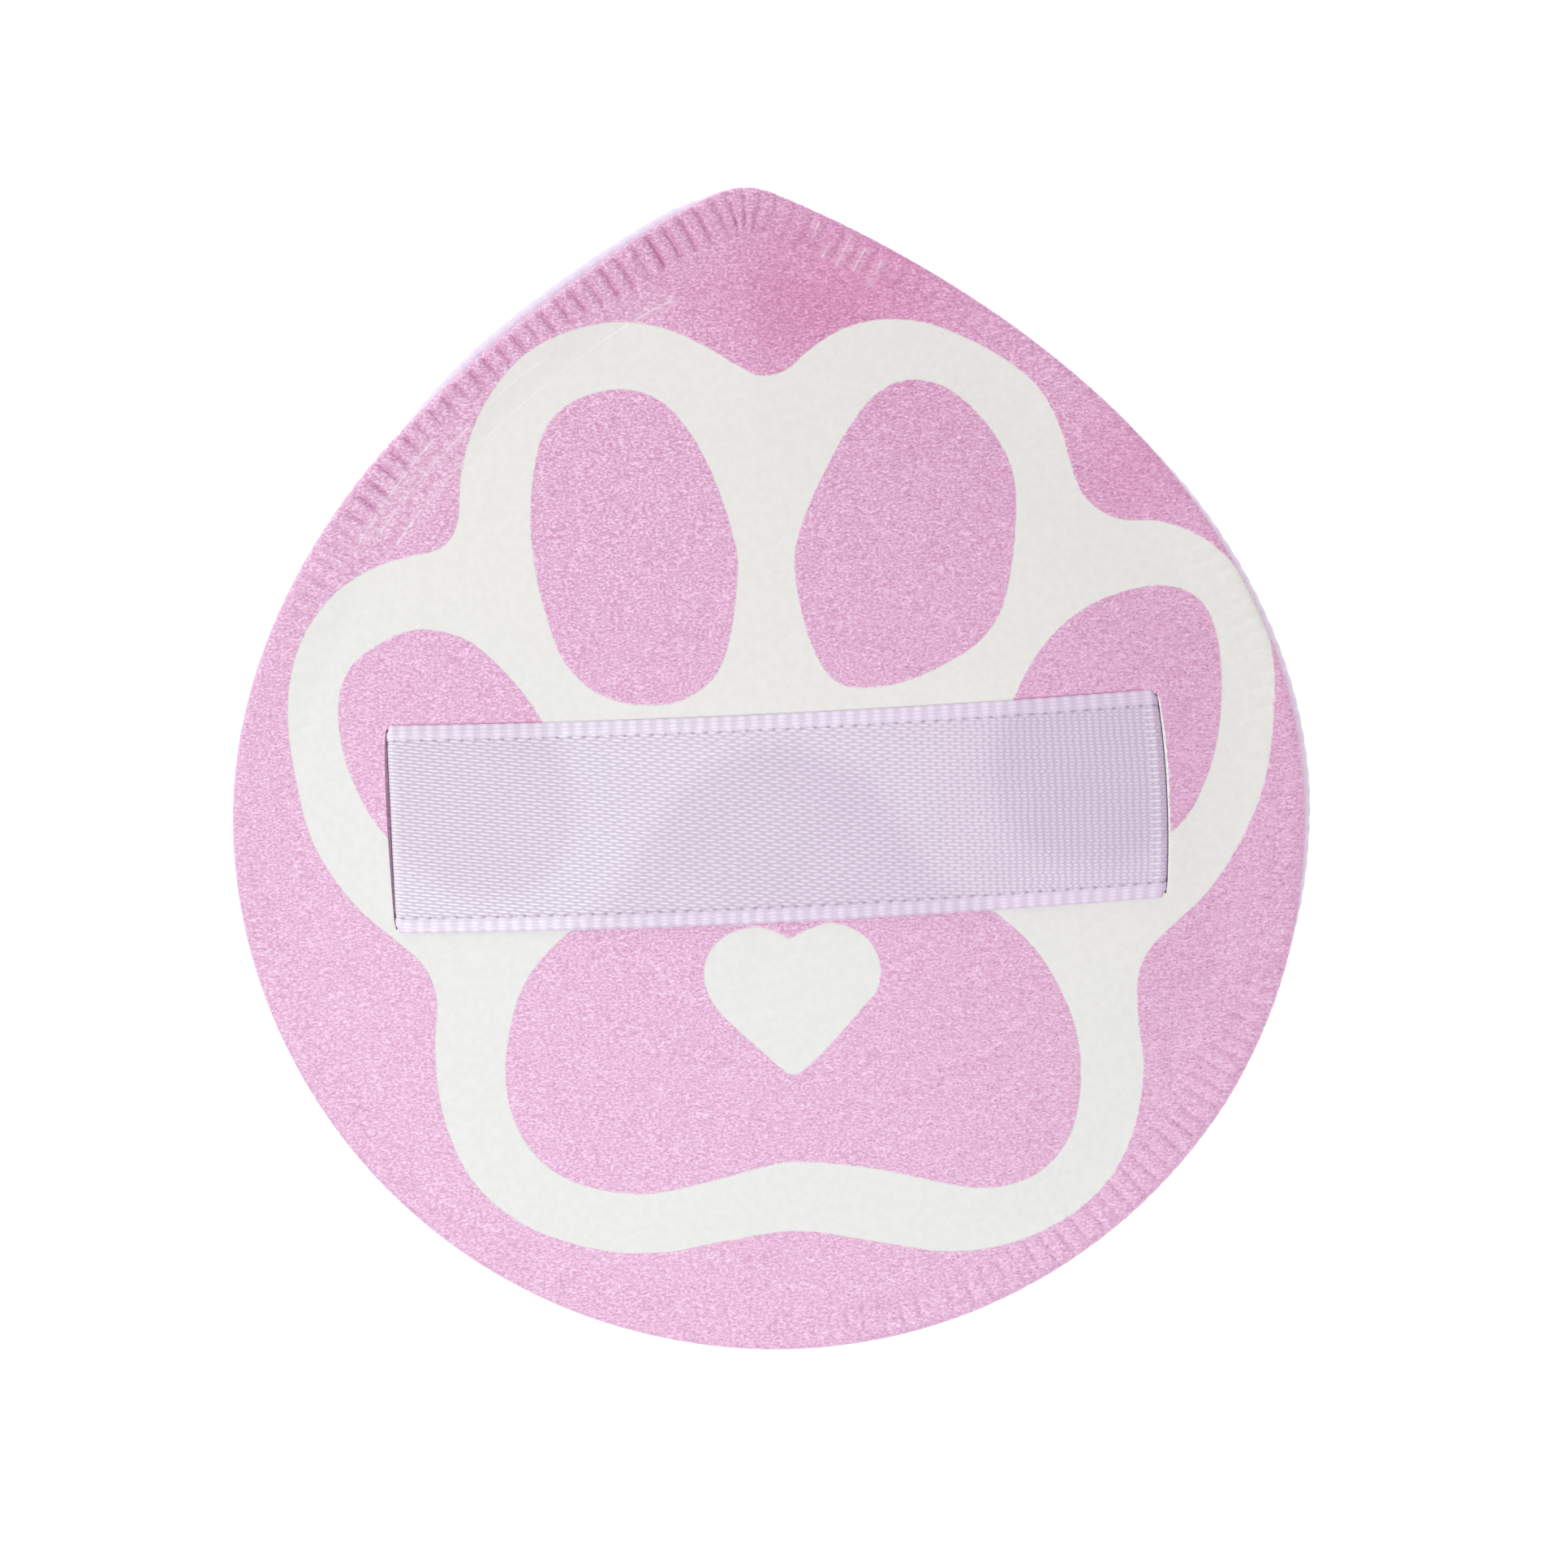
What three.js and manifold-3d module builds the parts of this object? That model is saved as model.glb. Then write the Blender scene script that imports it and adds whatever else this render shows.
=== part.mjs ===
import * as THREE from 'three';
import Module from 'manifold-3d';
import { mergeVertices } from 'three/addons/utils/BufferGeometryUtils.js';

// Drop-shaped cushion puff for makeup, lying on its applicator face with the printed back up.
// Lengths are in millimetres. X runs along the finger ribbon, Y towards the tip of the drop and
// Z up out of the back. The origin is the middle of the footprint, on the surface it lies on.

// Plan of the puff: a round belly, two flanks and a rounded tip.
const bellyRadius = 25.9;
const tipReach = 30.2; // from the belly's centre to the tip
const tipInnerRadius = 0.55; // of the seam's inner edge, where it turns round the tip
const flankSlope = THREE.MathUtils.degToRad( 24.5 ); // a flank's fall where it leaves the tip
const flankStart = THREE.MathUtils.degToRad( - 3.2 ); // where a flank leaves the belly
const bellyHandleShare = 0.655; // the flank curve's handles, in shares of the belly's radius
const tipHandleShare = 0.323;

// Sheets, thread and the room between them.
const coverSkin = 0.45;
const faceSkin = 0.8;
const faceHem = 0.5; // the face is pressed thinner where it is sewn
const ribbonThickness = 0.25;
const threadLoop = 0.3; // over a stitch
const threadWaist = 0.18; // between two stitches
const clearance = 0.25;

// Section of the puff.
const foamRim = 2.4; // foam left under the seam
const crownRise = 1.25; // of the back's middle over the valley beside the seam
const valleyDip = 0.15; // of that valley under the seam's crest
const crownPower = 2.2; // how full the crown is
const bottomRound = 2.9; // width of the face's rounded lower edge
const widestShare = 0.84; // height of the widest line, in shares of the foam ledge's height
const rimInset = 0.35; // of the back's edge inside the face's widest line
const hemWidth = 0.75; // flat part of the turned-in edges
const crownShares = [ 0.1, 0.24, 0.42, 0.66 ]; // rings of the crown, from the seam to the middle

// Finger ribbon and its slits.
const ribbonWidth = 10;
const slitLeft = 18.6; // from the belly's centre
const slitRight = 19;
const archGap = 0.15; // slack of the ribbon over the middle of the back, on top of the clearance
const archSteps = 12;
const tailSteps = 3;

// Overlocked edge, which stands out through the back as ribs.
const stitchPitch = 0.88;
const ribHeight = 0.12;
const ribStartShare = 0.5; // where the ribs begin, from the seam's crest to the valley

// Facets round the outline, and along the arcs of the section.
const bellySteps = 36;
const flankSteps = 12;
const tipSteps = 4;
const foldSteps = 3; // a quarter turn
const innerFoldSteps = 3;
const edgeSteps = 4;
const innerEdgeSteps = 3;
const sideSteps = 3;
const innerSideSteps = 2;

// Heights of the layers at the seam, from the surface that the puff lies on upwards.
const foamBase = faceSkin + clearance;
const foamLedge = foamBase + foamRim;
const widestHeight = foamLedge * widestShare;
const threadBottom = foamLedge + clearance;
const faceHemBottom = threadBottom + threadLoop + clearance;
const faceHemTop = faceHemBottom + faceHem;
const coverHemBottom = faceHemTop + clearance;
const coverHemTop = coverHemBottom + coverSkin;
const threadTop = coverHemTop + clearance + threadLoop;
const tailTop = threadTop + clearance + ribbonThickness;
const valleyUnder = tailTop + clearance;
const crestUnder = valleyUnder + valleyDip;
const crestTop = crestUnder + coverSkin;
const valleyTop = valleyUnder + coverSkin;

// Insets from the widest outline, in order inwards.
const foldRadius = ( crestTop - coverHemBottom ) / 2;
const foldInset = rimInset + foldRadius; // middle of the back's folded edge
const rawEdge = foldInset + hemWidth; // cut edge of both hems
const threadBack = rawEdge + clearance; // the thread's inner side starts here
const seamDepth = threadBack + threadLoop + clearance;
const tipRadius = seamDepth + tipInnerRadius;
const crownDepth = bellyRadius - seamDepth;

const bellyCentre = new THREE.Vector2( 0, ( bellyRadius - tipReach ) / 2 );

const wasm = await Module();
wasm.setup();

// The outline's four curves, anticlockwise from the left end of the belly.
function outlineCurves() {

	const tipCentre = bellyCentre.clone();
	tipCentre.y += tipReach - tipRadius;
	const bellyEnd = polar( bellyCentre, bellyRadius, flankStart );
	const tipStart = polar( tipCentre, tipRadius, Math.PI / 2 - flankSlope );
	const bellyHandle = polar( bellyEnd, bellyRadius * bellyHandleShare, flankStart + Math.PI / 2 );
	const tipHandle = polar( tipStart, bellyRadius * tipHandleShare, - flankSlope );
	const mirror = ( point ) => new THREE.Vector2( - point.x, point.y );

	const belly = new THREE.EllipseCurve(
		bellyCentre.x, bellyCentre.y, bellyRadius, bellyRadius,
		Math.PI - flankStart, 2 * Math.PI + flankStart );
	const tip = new THREE.EllipseCurve(
		tipCentre.x, tipCentre.y, tipRadius, tipRadius,
		Math.PI / 2 - flankSlope, Math.PI / 2 + flankSlope );
	const rightFlank = new THREE.CubicBezierCurve( bellyEnd, bellyHandle, tipHandle, tipStart );
	const leftFlank = new THREE.CubicBezierCurve(
		mirror( tipStart ), mirror( tipHandle ), mirror( bellyHandle ), mirror( bellyEnd ) );
	return [ belly, rightFlank, tip, leftFlank ];

}

function polar( centre, radius, angle ) {

	return new THREE.Vector2(
		centre.x + radius * Math.cos( angle ),
		centre.y + radius * Math.sin( angle ) );

}

// A station is a point of the outline with its inward direction and its share of the way round.
function stationsAt( counts ) {

	const curves = outlineCurves();
	const round = curves.reduce( ( sum, curve ) => sum + curve.getLength(), 0 );
	let passed = 0;
	return curves.flatMap( ( curve, index ) => {

		const length = curve.getLength();
		const stations = Array.from( { length: counts[ index ] }, ( _, step ) => {

			const share = step / counts[ index ];
			const along = curve.getTangentAt( share );
			return {
				point: curve.getPointAt( share ),
				inward: new THREE.Vector2( - along.y, along.x ),
				turn: ( passed + share * length ) / round
			};

		} );
		passed += length;
		return stations;

	} );

}

// Two stations a stitch: one on the stitch and one between it and the next.
function stitchCounts() {

	return outlineCurves().map( ( curve ) => 2 * Math.round( curve.getLength() / stitchPitch ) );

}

// Down to the seam's depth an inset is a true offset of the outline. Further in, the rings
// shrink towards the belly's centre and grow round, so the drop's tip fades out of the crown.
function insetPoint( station, inset ) {

	const offset = Math.min( inset, seamDepth );
	const share = ( inset - offset ) / crownDepth;
	const arm = station.point.clone().addScaledVector( station.inward, offset ).sub( bellyCentre );
	const reach = THREE.MathUtils.lerp( arm.length(), crownDepth, share ) * ( 1 - share );
	return arm.setLength( reach ).add( bellyCentre );

}

// A ring of a swept solid: an inset and a height at each of its stations. With a second point,
// every second station takes that one.
function ring( stations, on, between = on ) {

	return stations.map( ( station, index ) => {

		const { x: inset, y: height } = index % 2 ? between : on;
		return { turn: station.turn, place: [ ...insetPoint( station, inset ), height ] };

	} );

}

// On the belly's axis a ring is one point.
function middle( height ) {

	return [ { turn: 0, place: [ ...bellyCentre, height ] } ];

}

// Joins rings into one closed solid. They run over the top of the solid first, and either start
// and end on the axis or go round until they meet.
function sweep( rings ) {

	const positions = rings.flat().flatMap( ( corner ) => corner.place );
	const firsts = rings.map( ( _, index ) => rings.slice( 0, index ).flat().length );
	const indices = [];
	const bridge = ( one, two ) => {

		const [ here, there ] = [ rings[ one ], rings[ two ] ];
		const corner = ( which, step ) => firsts[ which ] + step % rings[ which ].length;
		const turnAfter = ( line, step ) => line.length > 1 && step < line.length
			? ( step + 1 < line.length ? line[ step + 1 ].turn : 1 )
			: Infinity;
		let i = 0;
		let j = 0;
		while ( turnAfter( here, i ) < Infinity || turnAfter( there, j ) < Infinity ) {

			if ( turnAfter( there, j ) <= turnAfter( here, i ) ) {

				indices.push( corner( one, i ), corner( two, j ), corner( two, j + 1 ) );
				j += 1;

			} else {

				indices.push( corner( one, i ), corner( two, j ), corner( one, i + 1 ) );
				i += 1;

			}

		}

	};
	rings.slice( 1 ).forEach( ( _, index ) => bridge( index, index + 1 ) );
	if ( rings[ 0 ].length > 1 ) bridge( rings.length - 1, 0 );
	const geometry = new THREE.BufferGeometry();
	geometry.setAttribute( 'position', new THREE.Float32BufferAttribute( positions, 3 ) );
	geometry.setIndex( indices );
	return geometry;

}

// Points of an elliptical arc in the section, from one angle to another in degrees.
function arc( centre, radii, from, to, steps ) {

	const curve = new THREE.EllipseCurve(
		...centre, ...radii,
		THREE.MathUtils.degToRad( from ), THREE.MathUtils.degToRad( to ), to < from );
	return curve.getPoints( steps );

}

const at = ( inset, height ) => new THREE.Vector2( inset, height );

// How far the back has risen from the valley, by its inset.
function rise( inset ) {

	const inwards = THREE.MathUtils.clamp( ( inset - seamDepth ) / crownDepth, 0, 1 );
	return crownRise * ( 1 - ( 1 - inwards ) ** crownPower );

}

// The crown's rings from the middle out to the valley, over a valley of the given height.
function crown( stations, valley ) {

	const insets = crownShares.map( ( share ) => seamDepth + crownDepth * share ).reverse();
	const rings = [ ...insets, seamDepth ].map( ( inset ) => ring( stations, at( inset, valley + rise( inset ) ) ) );
	return [ middle( valley + crownRise ), ...rings ];

}

function solid( geometry ) {

	const bare = geometry.clone();
	bare.deleteAttribute( 'normal' );
	bare.deleteAttribute( 'uv' );
	const merged = mergeVertices( bare );
	return new wasm.Manifold( new wasm.Mesh( {
		numProp: 3,
		vertProperties: new Float32Array( merged.attributes.position.array ),
		triVerts: new Uint32Array( merged.index.array )
	} ) );

}

function geometryOf( manifold ) {

	const { vertProperties, triVerts } = manifold.getMesh();
	const geometry = new THREE.BufferGeometry();
	geometry.setAttribute( 'position', new THREE.BufferAttribute( vertProperties, 3 ) );
	geometry.setIndex( new THREE.BufferAttribute( triVerts, 1 ) );
	return geometry;

}

// Centre line of one half of the ribbon, from the top of the arch to the end of the tail.
function ribbonHalf( slit ) {

	const half = ribbonThickness / 2;
	const ramp = ( coverSkin + 2 * clearance + ribbonThickness ) / 2; // each side of the slit
	const overBack = ( x ) => valleyTop + rise( bellyRadius - x ) + clearance + half;
	const underBack = ( x ) => valleyUnder + rise( bellyRadius - Math.hypot( x, ribbonWidth / 2 ) )
		- clearance - half;
	const landing = slit - ramp;
	const arch = Array.from( { length: archSteps + 1 }, ( _, step ) => {

		const share = step / archSteps;
		const x = landing * share;
		return at( x, overBack( x ) + archGap * ( 1 - share ** 2 ) );

	} );
	const tailStart = slit + ramp;
	const tailEnd = Math.sqrt( ( bellyRadius - foldInset ) ** 2 - ( ribbonWidth / 2 ) ** 2 );
	const tail = Array.from( { length: tailSteps + 1 }, ( _, step ) => {

		const x = tailStart + ( tailEnd - tailStart ) * step / tailSteps;
		return at( x, underBack( x ) );

	} );
	return [ ...arch, ...tail ];

}

// A flat strip along a line of the XZ plane, as a solid lying across the ribbon's width.
function strip( line, thickness, width ) {

	const headings = line.slice( 1 ).map( ( point, index ) => point.clone().sub( line[ index ] ).normalize() );
	const sides = [ thickness / 2, - thickness / 2 ].map( ( reach ) => line.map( ( point, index ) => {

		const before = headings[ Math.max( index - 1, 0 ) ];
		const after = headings[ Math.min( index, headings.length - 1 ) ];
		const along = before.clone().add( after ).normalize();
		return point.clone().addScaledVector( at( - along.y, along.x ), reach / along.dot( before ) );

	} ) );
	const outline = new THREE.Shape( [ ...sides[ 0 ], ...sides[ 1 ].reverse() ] );
	const geometry = new THREE.ExtrudeGeometry( outline, { depth: width, bevelEnabled: false } );
	geometry.rotateX( Math.PI / 2 );
	geometry.translate( 0, bellyCentre.y + width / 2, 0 );
	return geometry;

}

function ribbonLine() {

	const left = ribbonHalf( slitLeft ).map( ( point ) => at( - point.x, point.y ) );
	return [ ...left.reverse(), ...ribbonHalf( slitRight ).slice( 1 ) ];

}

function ribbonStrip( room ) {

	return strip( ribbonLine(), ribbonThickness + 2 * room, ribbonWidth + 2 * room );

}

// The straight stretch of the ribbon that goes through a slit, run on past the cover.
function slitTool( slit, side ) {

	const line = ribbonHalf( slit );
	const top = line[ archSteps ];
	const bottom = line[ archSteps + 1 ];
	const ends = [ top.clone().lerp( bottom, - 1 ), top.clone().lerp( bottom, 2 ) ];
	const placed = ends.map( ( point ) => at( side * point.x, point.y ) );
	return solid( strip( placed, ribbonThickness + 2 * clearance, ribbonWidth + 2 * clearance ) );

}

// Back cover: crown, valley, seam crest, folded edge and hem, then the same way back inside. Over
// the overlocked stitches its outside is ribbed, and the ribs fade out under the fold.
function printedBackCover( stations, stitches ) {

	const fold = [ foldInset, ( crestTop + coverHemBottom ) / 2 ];
	const inner = foldRadius - coverSkin;
	const ribbed = foldRadius + ribHeight;
	const ribStart = at( foldInset, crestTop ).lerp( at( seamDepth, valleyTop ), ribStartShare );
	const grooves = arc( fold, [ foldRadius, foldRadius ], 90, 270, 2 * foldSteps );
	const ribs = [
		...arc( fold, [ ribbed, ribbed ], 90, 180, foldSteps ),
		...arc( fold, [ ribbed, foldRadius ], 180, 270, foldSteps ).slice( 1 )
	];
	const hem = [
		at( rawEdge, coverHemBottom ),
		at( rawEdge, coverHemTop ),
		...arc( fold, [ inner, inner ], 270, 90, innerFoldSteps )
	];
	const blank = solid( sweep( [
		...crown( stations, valleyTop ),
		ring( stitches, ribStart ),
		...ribs.map( ( rib, index ) => ring( stitches, rib, grooves[ index ] ) ),
		...hem.map( ( point ) => ring( stations, point ) ),
		...crown( stations, valleyUnder ).reverse()
	] ) );
	return geometryOf( blank.subtract( slitTool( slitLeft, - 1 ) ).subtract( slitTool( slitRight, 1 ) ) );

}

// Applicator face: flat underside, rounded lower edge, bulging side, then its hem.
function applicatorFace( stations ) {

	const edge = [ bottomRound, widestHeight ];
	const innerEdge = [ bottomRound - faceSkin, widestHeight - faceSkin ];
	const side = [ foldInset, faceHemTop - widestHeight ];
	const innerSide = [ foldInset - faceSkin, faceHemBottom - widestHeight ];
	const seam = [ foldInset, widestHeight ];
	const section = [
		...arc( edge, innerEdge, 270, 180, innerEdgeSteps ),
		...arc( seam, innerSide, 180, 90, innerSideSteps ).slice( 1 ),
		at( rawEdge, faceHemBottom ),
		at( rawEdge, faceHemTop ),
		...arc( seam, side, 90, 180, sideSteps ),
		...arc( edge, edge, 180, 270, edgeSteps ).slice( 1 )
	];
	return sweep( [ middle( faceSkin ), ...section.map( ( point ) => ring( stations, point ) ), middle( 0 ) ] );

}

// Foam pad: it fills both skins, with a ledge under the seam and room for the ribbon's tails.
function foamCore( stations ) {

	const edge = [ bottomRound, widestHeight ];
	const section = [
		at( seamDepth, foamLedge ),
		at( foldInset, foamLedge ),
		...arc( edge, [ bottomRound - foamBase, widestHeight - foamBase ], 180, 270, innerEdgeSteps )
	];
	const blank = solid( sweep( [
		...crown( stations, valleyUnder - clearance ),
		...section.map( ( point ) => ring( stations, point ) ),
		middle( foamBase )
	] ) );
	return geometryOf( blank.subtract( solid( ribbonStrip( clearance ) ) ) );

}

// Overlock stitches round the cut edges of both hems: a channel section, even where it lies on
// the hems, and on its outside thick over each stitch and thin between two.
function overlockThread( stations, stitches ) {

	const [ top, bottom ] = [ threadTop - threadLoop, threadBottom + threadLoop ];
	const inside = [ at( foldInset, top ), at( threadBack, top ), at( threadBack, bottom ), at( foldInset, bottom ) ];
	const outside = ( thickness ) => [
		at( foldInset, bottom - thickness ), at( threadBack + thickness, bottom - thickness ),
		at( threadBack + thickness, top + thickness ), at( foldInset, top + thickness )
	];
	const waist = outside( threadWaist );
	return sweep( [
		...inside.map( ( point ) => ring( stations, point ) ),
		...outside( threadLoop ).map( ( loop, index ) => ring( stitches, loop, waist[ index ] ) )
	] );

}

const lavender = 0xdcccee;
const looks = {
	finger_ribbon: { color: 0xd9cbe2, roughness: 0.42, metalness: 0 },
	printed_back_cover: { color: 0xe8bcdc, roughness: 0.55, metalness: 0 },
	applicator_face: { color: lavender, roughness: 0.85, metalness: 0 },
	overlock_thread: { color: lavender, roughness: 0.7, metalness: 0 },
	foam_core: { color: 0xf4f1ec, roughness: 0.95, metalness: 0 }
};

const shells = stationsAt( [ bellySteps, flankSteps, tipSteps, flankSteps ] );
const stitches = stationsAt( stitchCounts() );
const geometries = {
	finger_ribbon: ribbonStrip( 0 ),
	printed_back_cover: printedBackCover( shells, stitches ),
	applicator_face: applicatorFace( shells ),
	overlock_thread: overlockThread( shells, stitches ),
	foam_core: foamCore( shells )
};

const puff = new THREE.Group();
for ( const [ name, geometry ] of Object.entries( geometries ) ) {

	geometry.computeVertexNormals();
	const mesh = new THREE.Mesh( geometry, new THREE.MeshStandardMaterial( looks[ name ] ) );
	mesh.name = name;
	puff.add( mesh );

}

export default puff;
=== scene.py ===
"""Drop-shaped makeup cushion puff: its looks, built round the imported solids.

Lengths are in millimetres and are turned into metres when a mesh is made. X runs along the finger
ribbon, Y towards the tip of the drop and Z up out of the printed back.
"""

import math
from functools import lru_cache
from typing import NamedTuple

import bpy
import numpy as np
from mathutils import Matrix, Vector
from mathutils.kdtree import KDTree


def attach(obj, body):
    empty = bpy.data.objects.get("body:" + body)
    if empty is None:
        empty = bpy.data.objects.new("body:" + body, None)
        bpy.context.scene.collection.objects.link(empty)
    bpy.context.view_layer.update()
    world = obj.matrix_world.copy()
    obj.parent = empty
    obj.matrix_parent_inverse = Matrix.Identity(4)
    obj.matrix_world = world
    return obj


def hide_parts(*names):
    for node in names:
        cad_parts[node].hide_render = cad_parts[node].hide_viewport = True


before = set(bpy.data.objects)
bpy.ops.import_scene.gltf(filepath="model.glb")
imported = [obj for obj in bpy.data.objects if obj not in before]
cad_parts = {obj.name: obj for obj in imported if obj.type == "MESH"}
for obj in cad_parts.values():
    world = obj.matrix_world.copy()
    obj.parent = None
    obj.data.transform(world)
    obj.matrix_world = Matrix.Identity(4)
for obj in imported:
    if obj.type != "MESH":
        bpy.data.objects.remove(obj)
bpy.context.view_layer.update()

MM = 0.001
SEED = 11

# Plan of the puff, as the solids have it: a round belly, two flanks and a rounded tip.
BELLY_RADIUS = 25.9
TIP_REACH = 30.2
TIP_RADIUS = 3.625
FLANK_SLOPE = math.radians(24.5)
FLANK_START = math.radians(-3.2)
BELLY_HANDLE = 0.655 * BELLY_RADIUS
TIP_HANDLE = 0.323 * BELLY_RADIUS
CENTRE = np.array([0.0, (BELLY_RADIUS - TIP_REACH) / 2])  # of the belly
STITCHES = 184

# Section at the seam: heights above the floor, and insets from the widest outline.
SEAM_DEPTH = 3.075
CROWN_DEPTH = BELLY_RADIUS - SEAM_DEPTH
CROWN_RISE = 1.25
CROWN_POWER = 2.2
VALLEY_TOP = 7.2
CREST_TOP = 7.35
COVER_SKIN = 0.45
FOLD_RADIUS = 1.175
FOLD_INSET = 1.525
FOLD_HEIGHT = 6.175
RAW_EDGE = 2.275
SEAM_HEIGHT = 4.88  # where the two folds press together
WIDEST_HEIGHT = 2.898
BOTTOM_ROUND = 2.9
FACE_SKIN = 0.8
THREAD_RADIUS = 0.11

# Ribbon.
RIBBON_WIDTH = 10.0
RIBBON_SKIN = 0.1
RIBBON_SLACK = 0.03  # over the middle of the back
SLIT_LEFT = 18.33
SLIT_RIGHT = 18.68
SLIT_BOW = 0.26  # of the right slit's middle, away from the ribbon
TURN_RADIUS = 0.24  # of the ribbon's bends at a slit
TAIL_END = 23.8
ROW_PITCH = 0.1675
BEAD_PITCH = 0.653
SELVEDGE = 0.72
GUTTER = SELVEDGE + 0.02  # how far in the needle holes lie

# The photograph: 1932 px square, the puff turned a little to the left.
PX = 25.62  # per mm
PHOTO_CENTRE = 966.0
BELLY_PX = (952.0, 1000.0)
TURN = math.radians(2.7)


# Small helpers.

CHUNK = 4000  # points measured at a time
LOOP_POWER = 0.36  # of the seam's loops, which are squarer than circles


def heading(angle):
    return np.array([math.cos(angle), math.sin(angle)])


def unit(vectors):
    return vectors / np.linalg.norm(vectors, axis=1, keepdims=True)


def from_px(points):
    """Places in the plane of the back, from pixels of the photograph."""
    x, y = ((np.asarray(points, float) - BELLY_PX) * (1 / PX, -1 / PX)).T
    c, s = heading(TURN)
    return np.stack([x * c + y * s, y * c - x * s], 1) + CENTRE


def lerp(a, b, share):
    return a + (b - a) * share


def smooth(x, low, high):
    t = np.clip((np.asarray(x, float) - low) / (high - low), 0, 1)
    return t * t * (3 - 2 * t)


def bell(distance, width):
    return np.exp(-((distance / width) ** 2))


def round_table(angle, table):
    """A value by the angle round the belly, in degrees, between listed ones."""
    keys = np.array([key + turn for turn in (-360, 0, 360) for key in table])
    return np.interp(np.asarray(angle) % 360, keys, [*table.values()] * 3)


def spline(points, closed, per):
    """A Catmull-Rom curve through points. A point given twice makes a corner."""
    p = np.asarray(points, float)
    p = np.concatenate([p[-1:], p, p[:2]] if closed else [p[:1], p, p[-1:]])
    a, b, c, d = (p[k : len(p) - 3 + k, None] for k in range(4))
    t = np.arange(per)[:, None] / per
    bend = 2 * a - 5 * b + 4 * c - d
    twist = 3 * b - a - 3 * c + d
    line = (0.5 * (2 * b + (c - a) * t + bend * t**2 + twist * t**3)).reshape(-1, 2)
    if not closed:
        line = np.vstack([line, p[-1]])
    keep = np.linalg.norm(line - np.roll(line, 1, 0), axis=1) > 1e-6
    keep[0] = True
    return line[keep]


def signed(line, points):
    """The distance from each point to a closed polyline, positive inside it."""
    d = np.roll(line, -1, 0) - line
    length = np.maximum((d * d).sum(1), 1e-12)
    climb = np.where(d[:, 1] == 0, 1e-12, d[:, 1])
    out = np.empty(len(points))
    for i in range(0, len(points), CHUNK):
        arm = points[i : i + CHUNK, None] - line
        t = np.clip((arm * d).sum(2) / length, 0, 1)
        away = np.sqrt(((arm - t[..., None] * d) ** 2).sum(2).min(1))
        # From inside, a ray to the right crosses the line an odd number of times.
        x, y = arm[..., 0], arm[..., 1]
        crossed = ((y < 0) != (y < d[:, 1])) & (x < y * d[:, 0] / climb)
        out[i : i + CHUNK] = away * np.where(crossed.sum(1) % 2, 1, -1)
    return out


def mesh_object(name, places, faces, materials, smooth_faces=True):
    mesh = bpy.data.meshes.new(name)
    mesh.from_pydata((np.asarray(places) * MM).tolist(), [], faces)
    mesh.validate()
    mesh.update()
    for material in materials:
        mesh.materials.append(material)
    if smooth_faces:
        mesh.shade_smooth()
    piece = bpy.data.objects.new(name, mesh)
    bpy.context.scene.collection.objects.link(piece)
    return piece


def store(piece, **fields):
    """Keeps values for each point of a piece, which its look reads."""
    for name, values in fields.items():
        layer = piece.data.attributes.new(name, "FLOAT", "POINT")
        layer.data.foreach_set("value", np.asarray(values, np.float32))


def places_of(piece):
    flat = np.empty(3 * len(piece.data.vertices))
    piece.data.vertices.foreach_get("co", flat)
    return flat.reshape(-1, 3) / MM


# Outline and rings.


def arc_points(centre, radius, start, end, count=800):
    a = np.linspace(start, end, count)
    return centre + radius * np.stack([np.cos(a), np.sin(a)], 1)


def lengths(line):
    """How far along a polyline each of its points is."""
    return np.concatenate([[0], np.cumsum(np.linalg.norm(np.diff(line, axis=0), axis=1))])


def at_lengths(line, want):
    return np.stack([np.interp(want, lengths(line), line[:, k]) for k in (0, 1)], 1)


def bezier(p0, p1, p2, p3, count=1600):
    t = np.linspace(0, 1, count)[:, None]
    return (1 - t) ** 3 * p0 + 3 * (1 - t) ** 2 * t * p1 + 3 * (1 - t) * t**2 * p2 + t**3 * p3


def outline(count):
    """Points evenly round the widest line, anticlockwise from its left end, and inward directions."""
    tip_centre = CENTRE + (0, TIP_REACH - TIP_RADIUS)
    belly = arc_points(CENTRE, BELLY_RADIUS, math.pi - FLANK_START, 2 * math.pi + FLANK_START, 4000)
    tip = arc_points(tip_centre, TIP_RADIUS, math.pi / 2 - FLANK_SLOPE, math.pi / 2 + FLANK_SLOPE)
    p0, p3 = belly[-1], tip[0]
    p1 = p0 + BELLY_HANDLE * heading(FLANK_START + math.pi / 2)
    p2 = p3 + TIP_HANDLE * heading(-FLANK_SLOPE)
    right = bezier(p0, p1, p2, p3)
    left = (right * (-1, 1))[::-1]
    line = np.concatenate([belly[:-1], right[:-1], tip[:-1], left[:-1], belly[:1]])
    points = at_lengths(line, np.arange(count) / count * lengths(line)[-1])
    tangent = unit(np.roll(points, -1, 0) - np.roll(points, 1, 0))
    return points, np.stack([-tangent[:, 1], tangent[:, 0]], 1)


def angle_of(points):
    """The angle round the belly, in degrees, anticlockwise from its right."""
    x, y = (points - CENTRE).T
    return np.degrees(np.arctan2(y, x))


@lru_cache
def stations(count):
    """Points evenly round the outline, with inward directions, angles and shares of the way round."""
    points, inward = outline(count)
    return points, inward, angle_of(points), np.arange(count) / count


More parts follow.
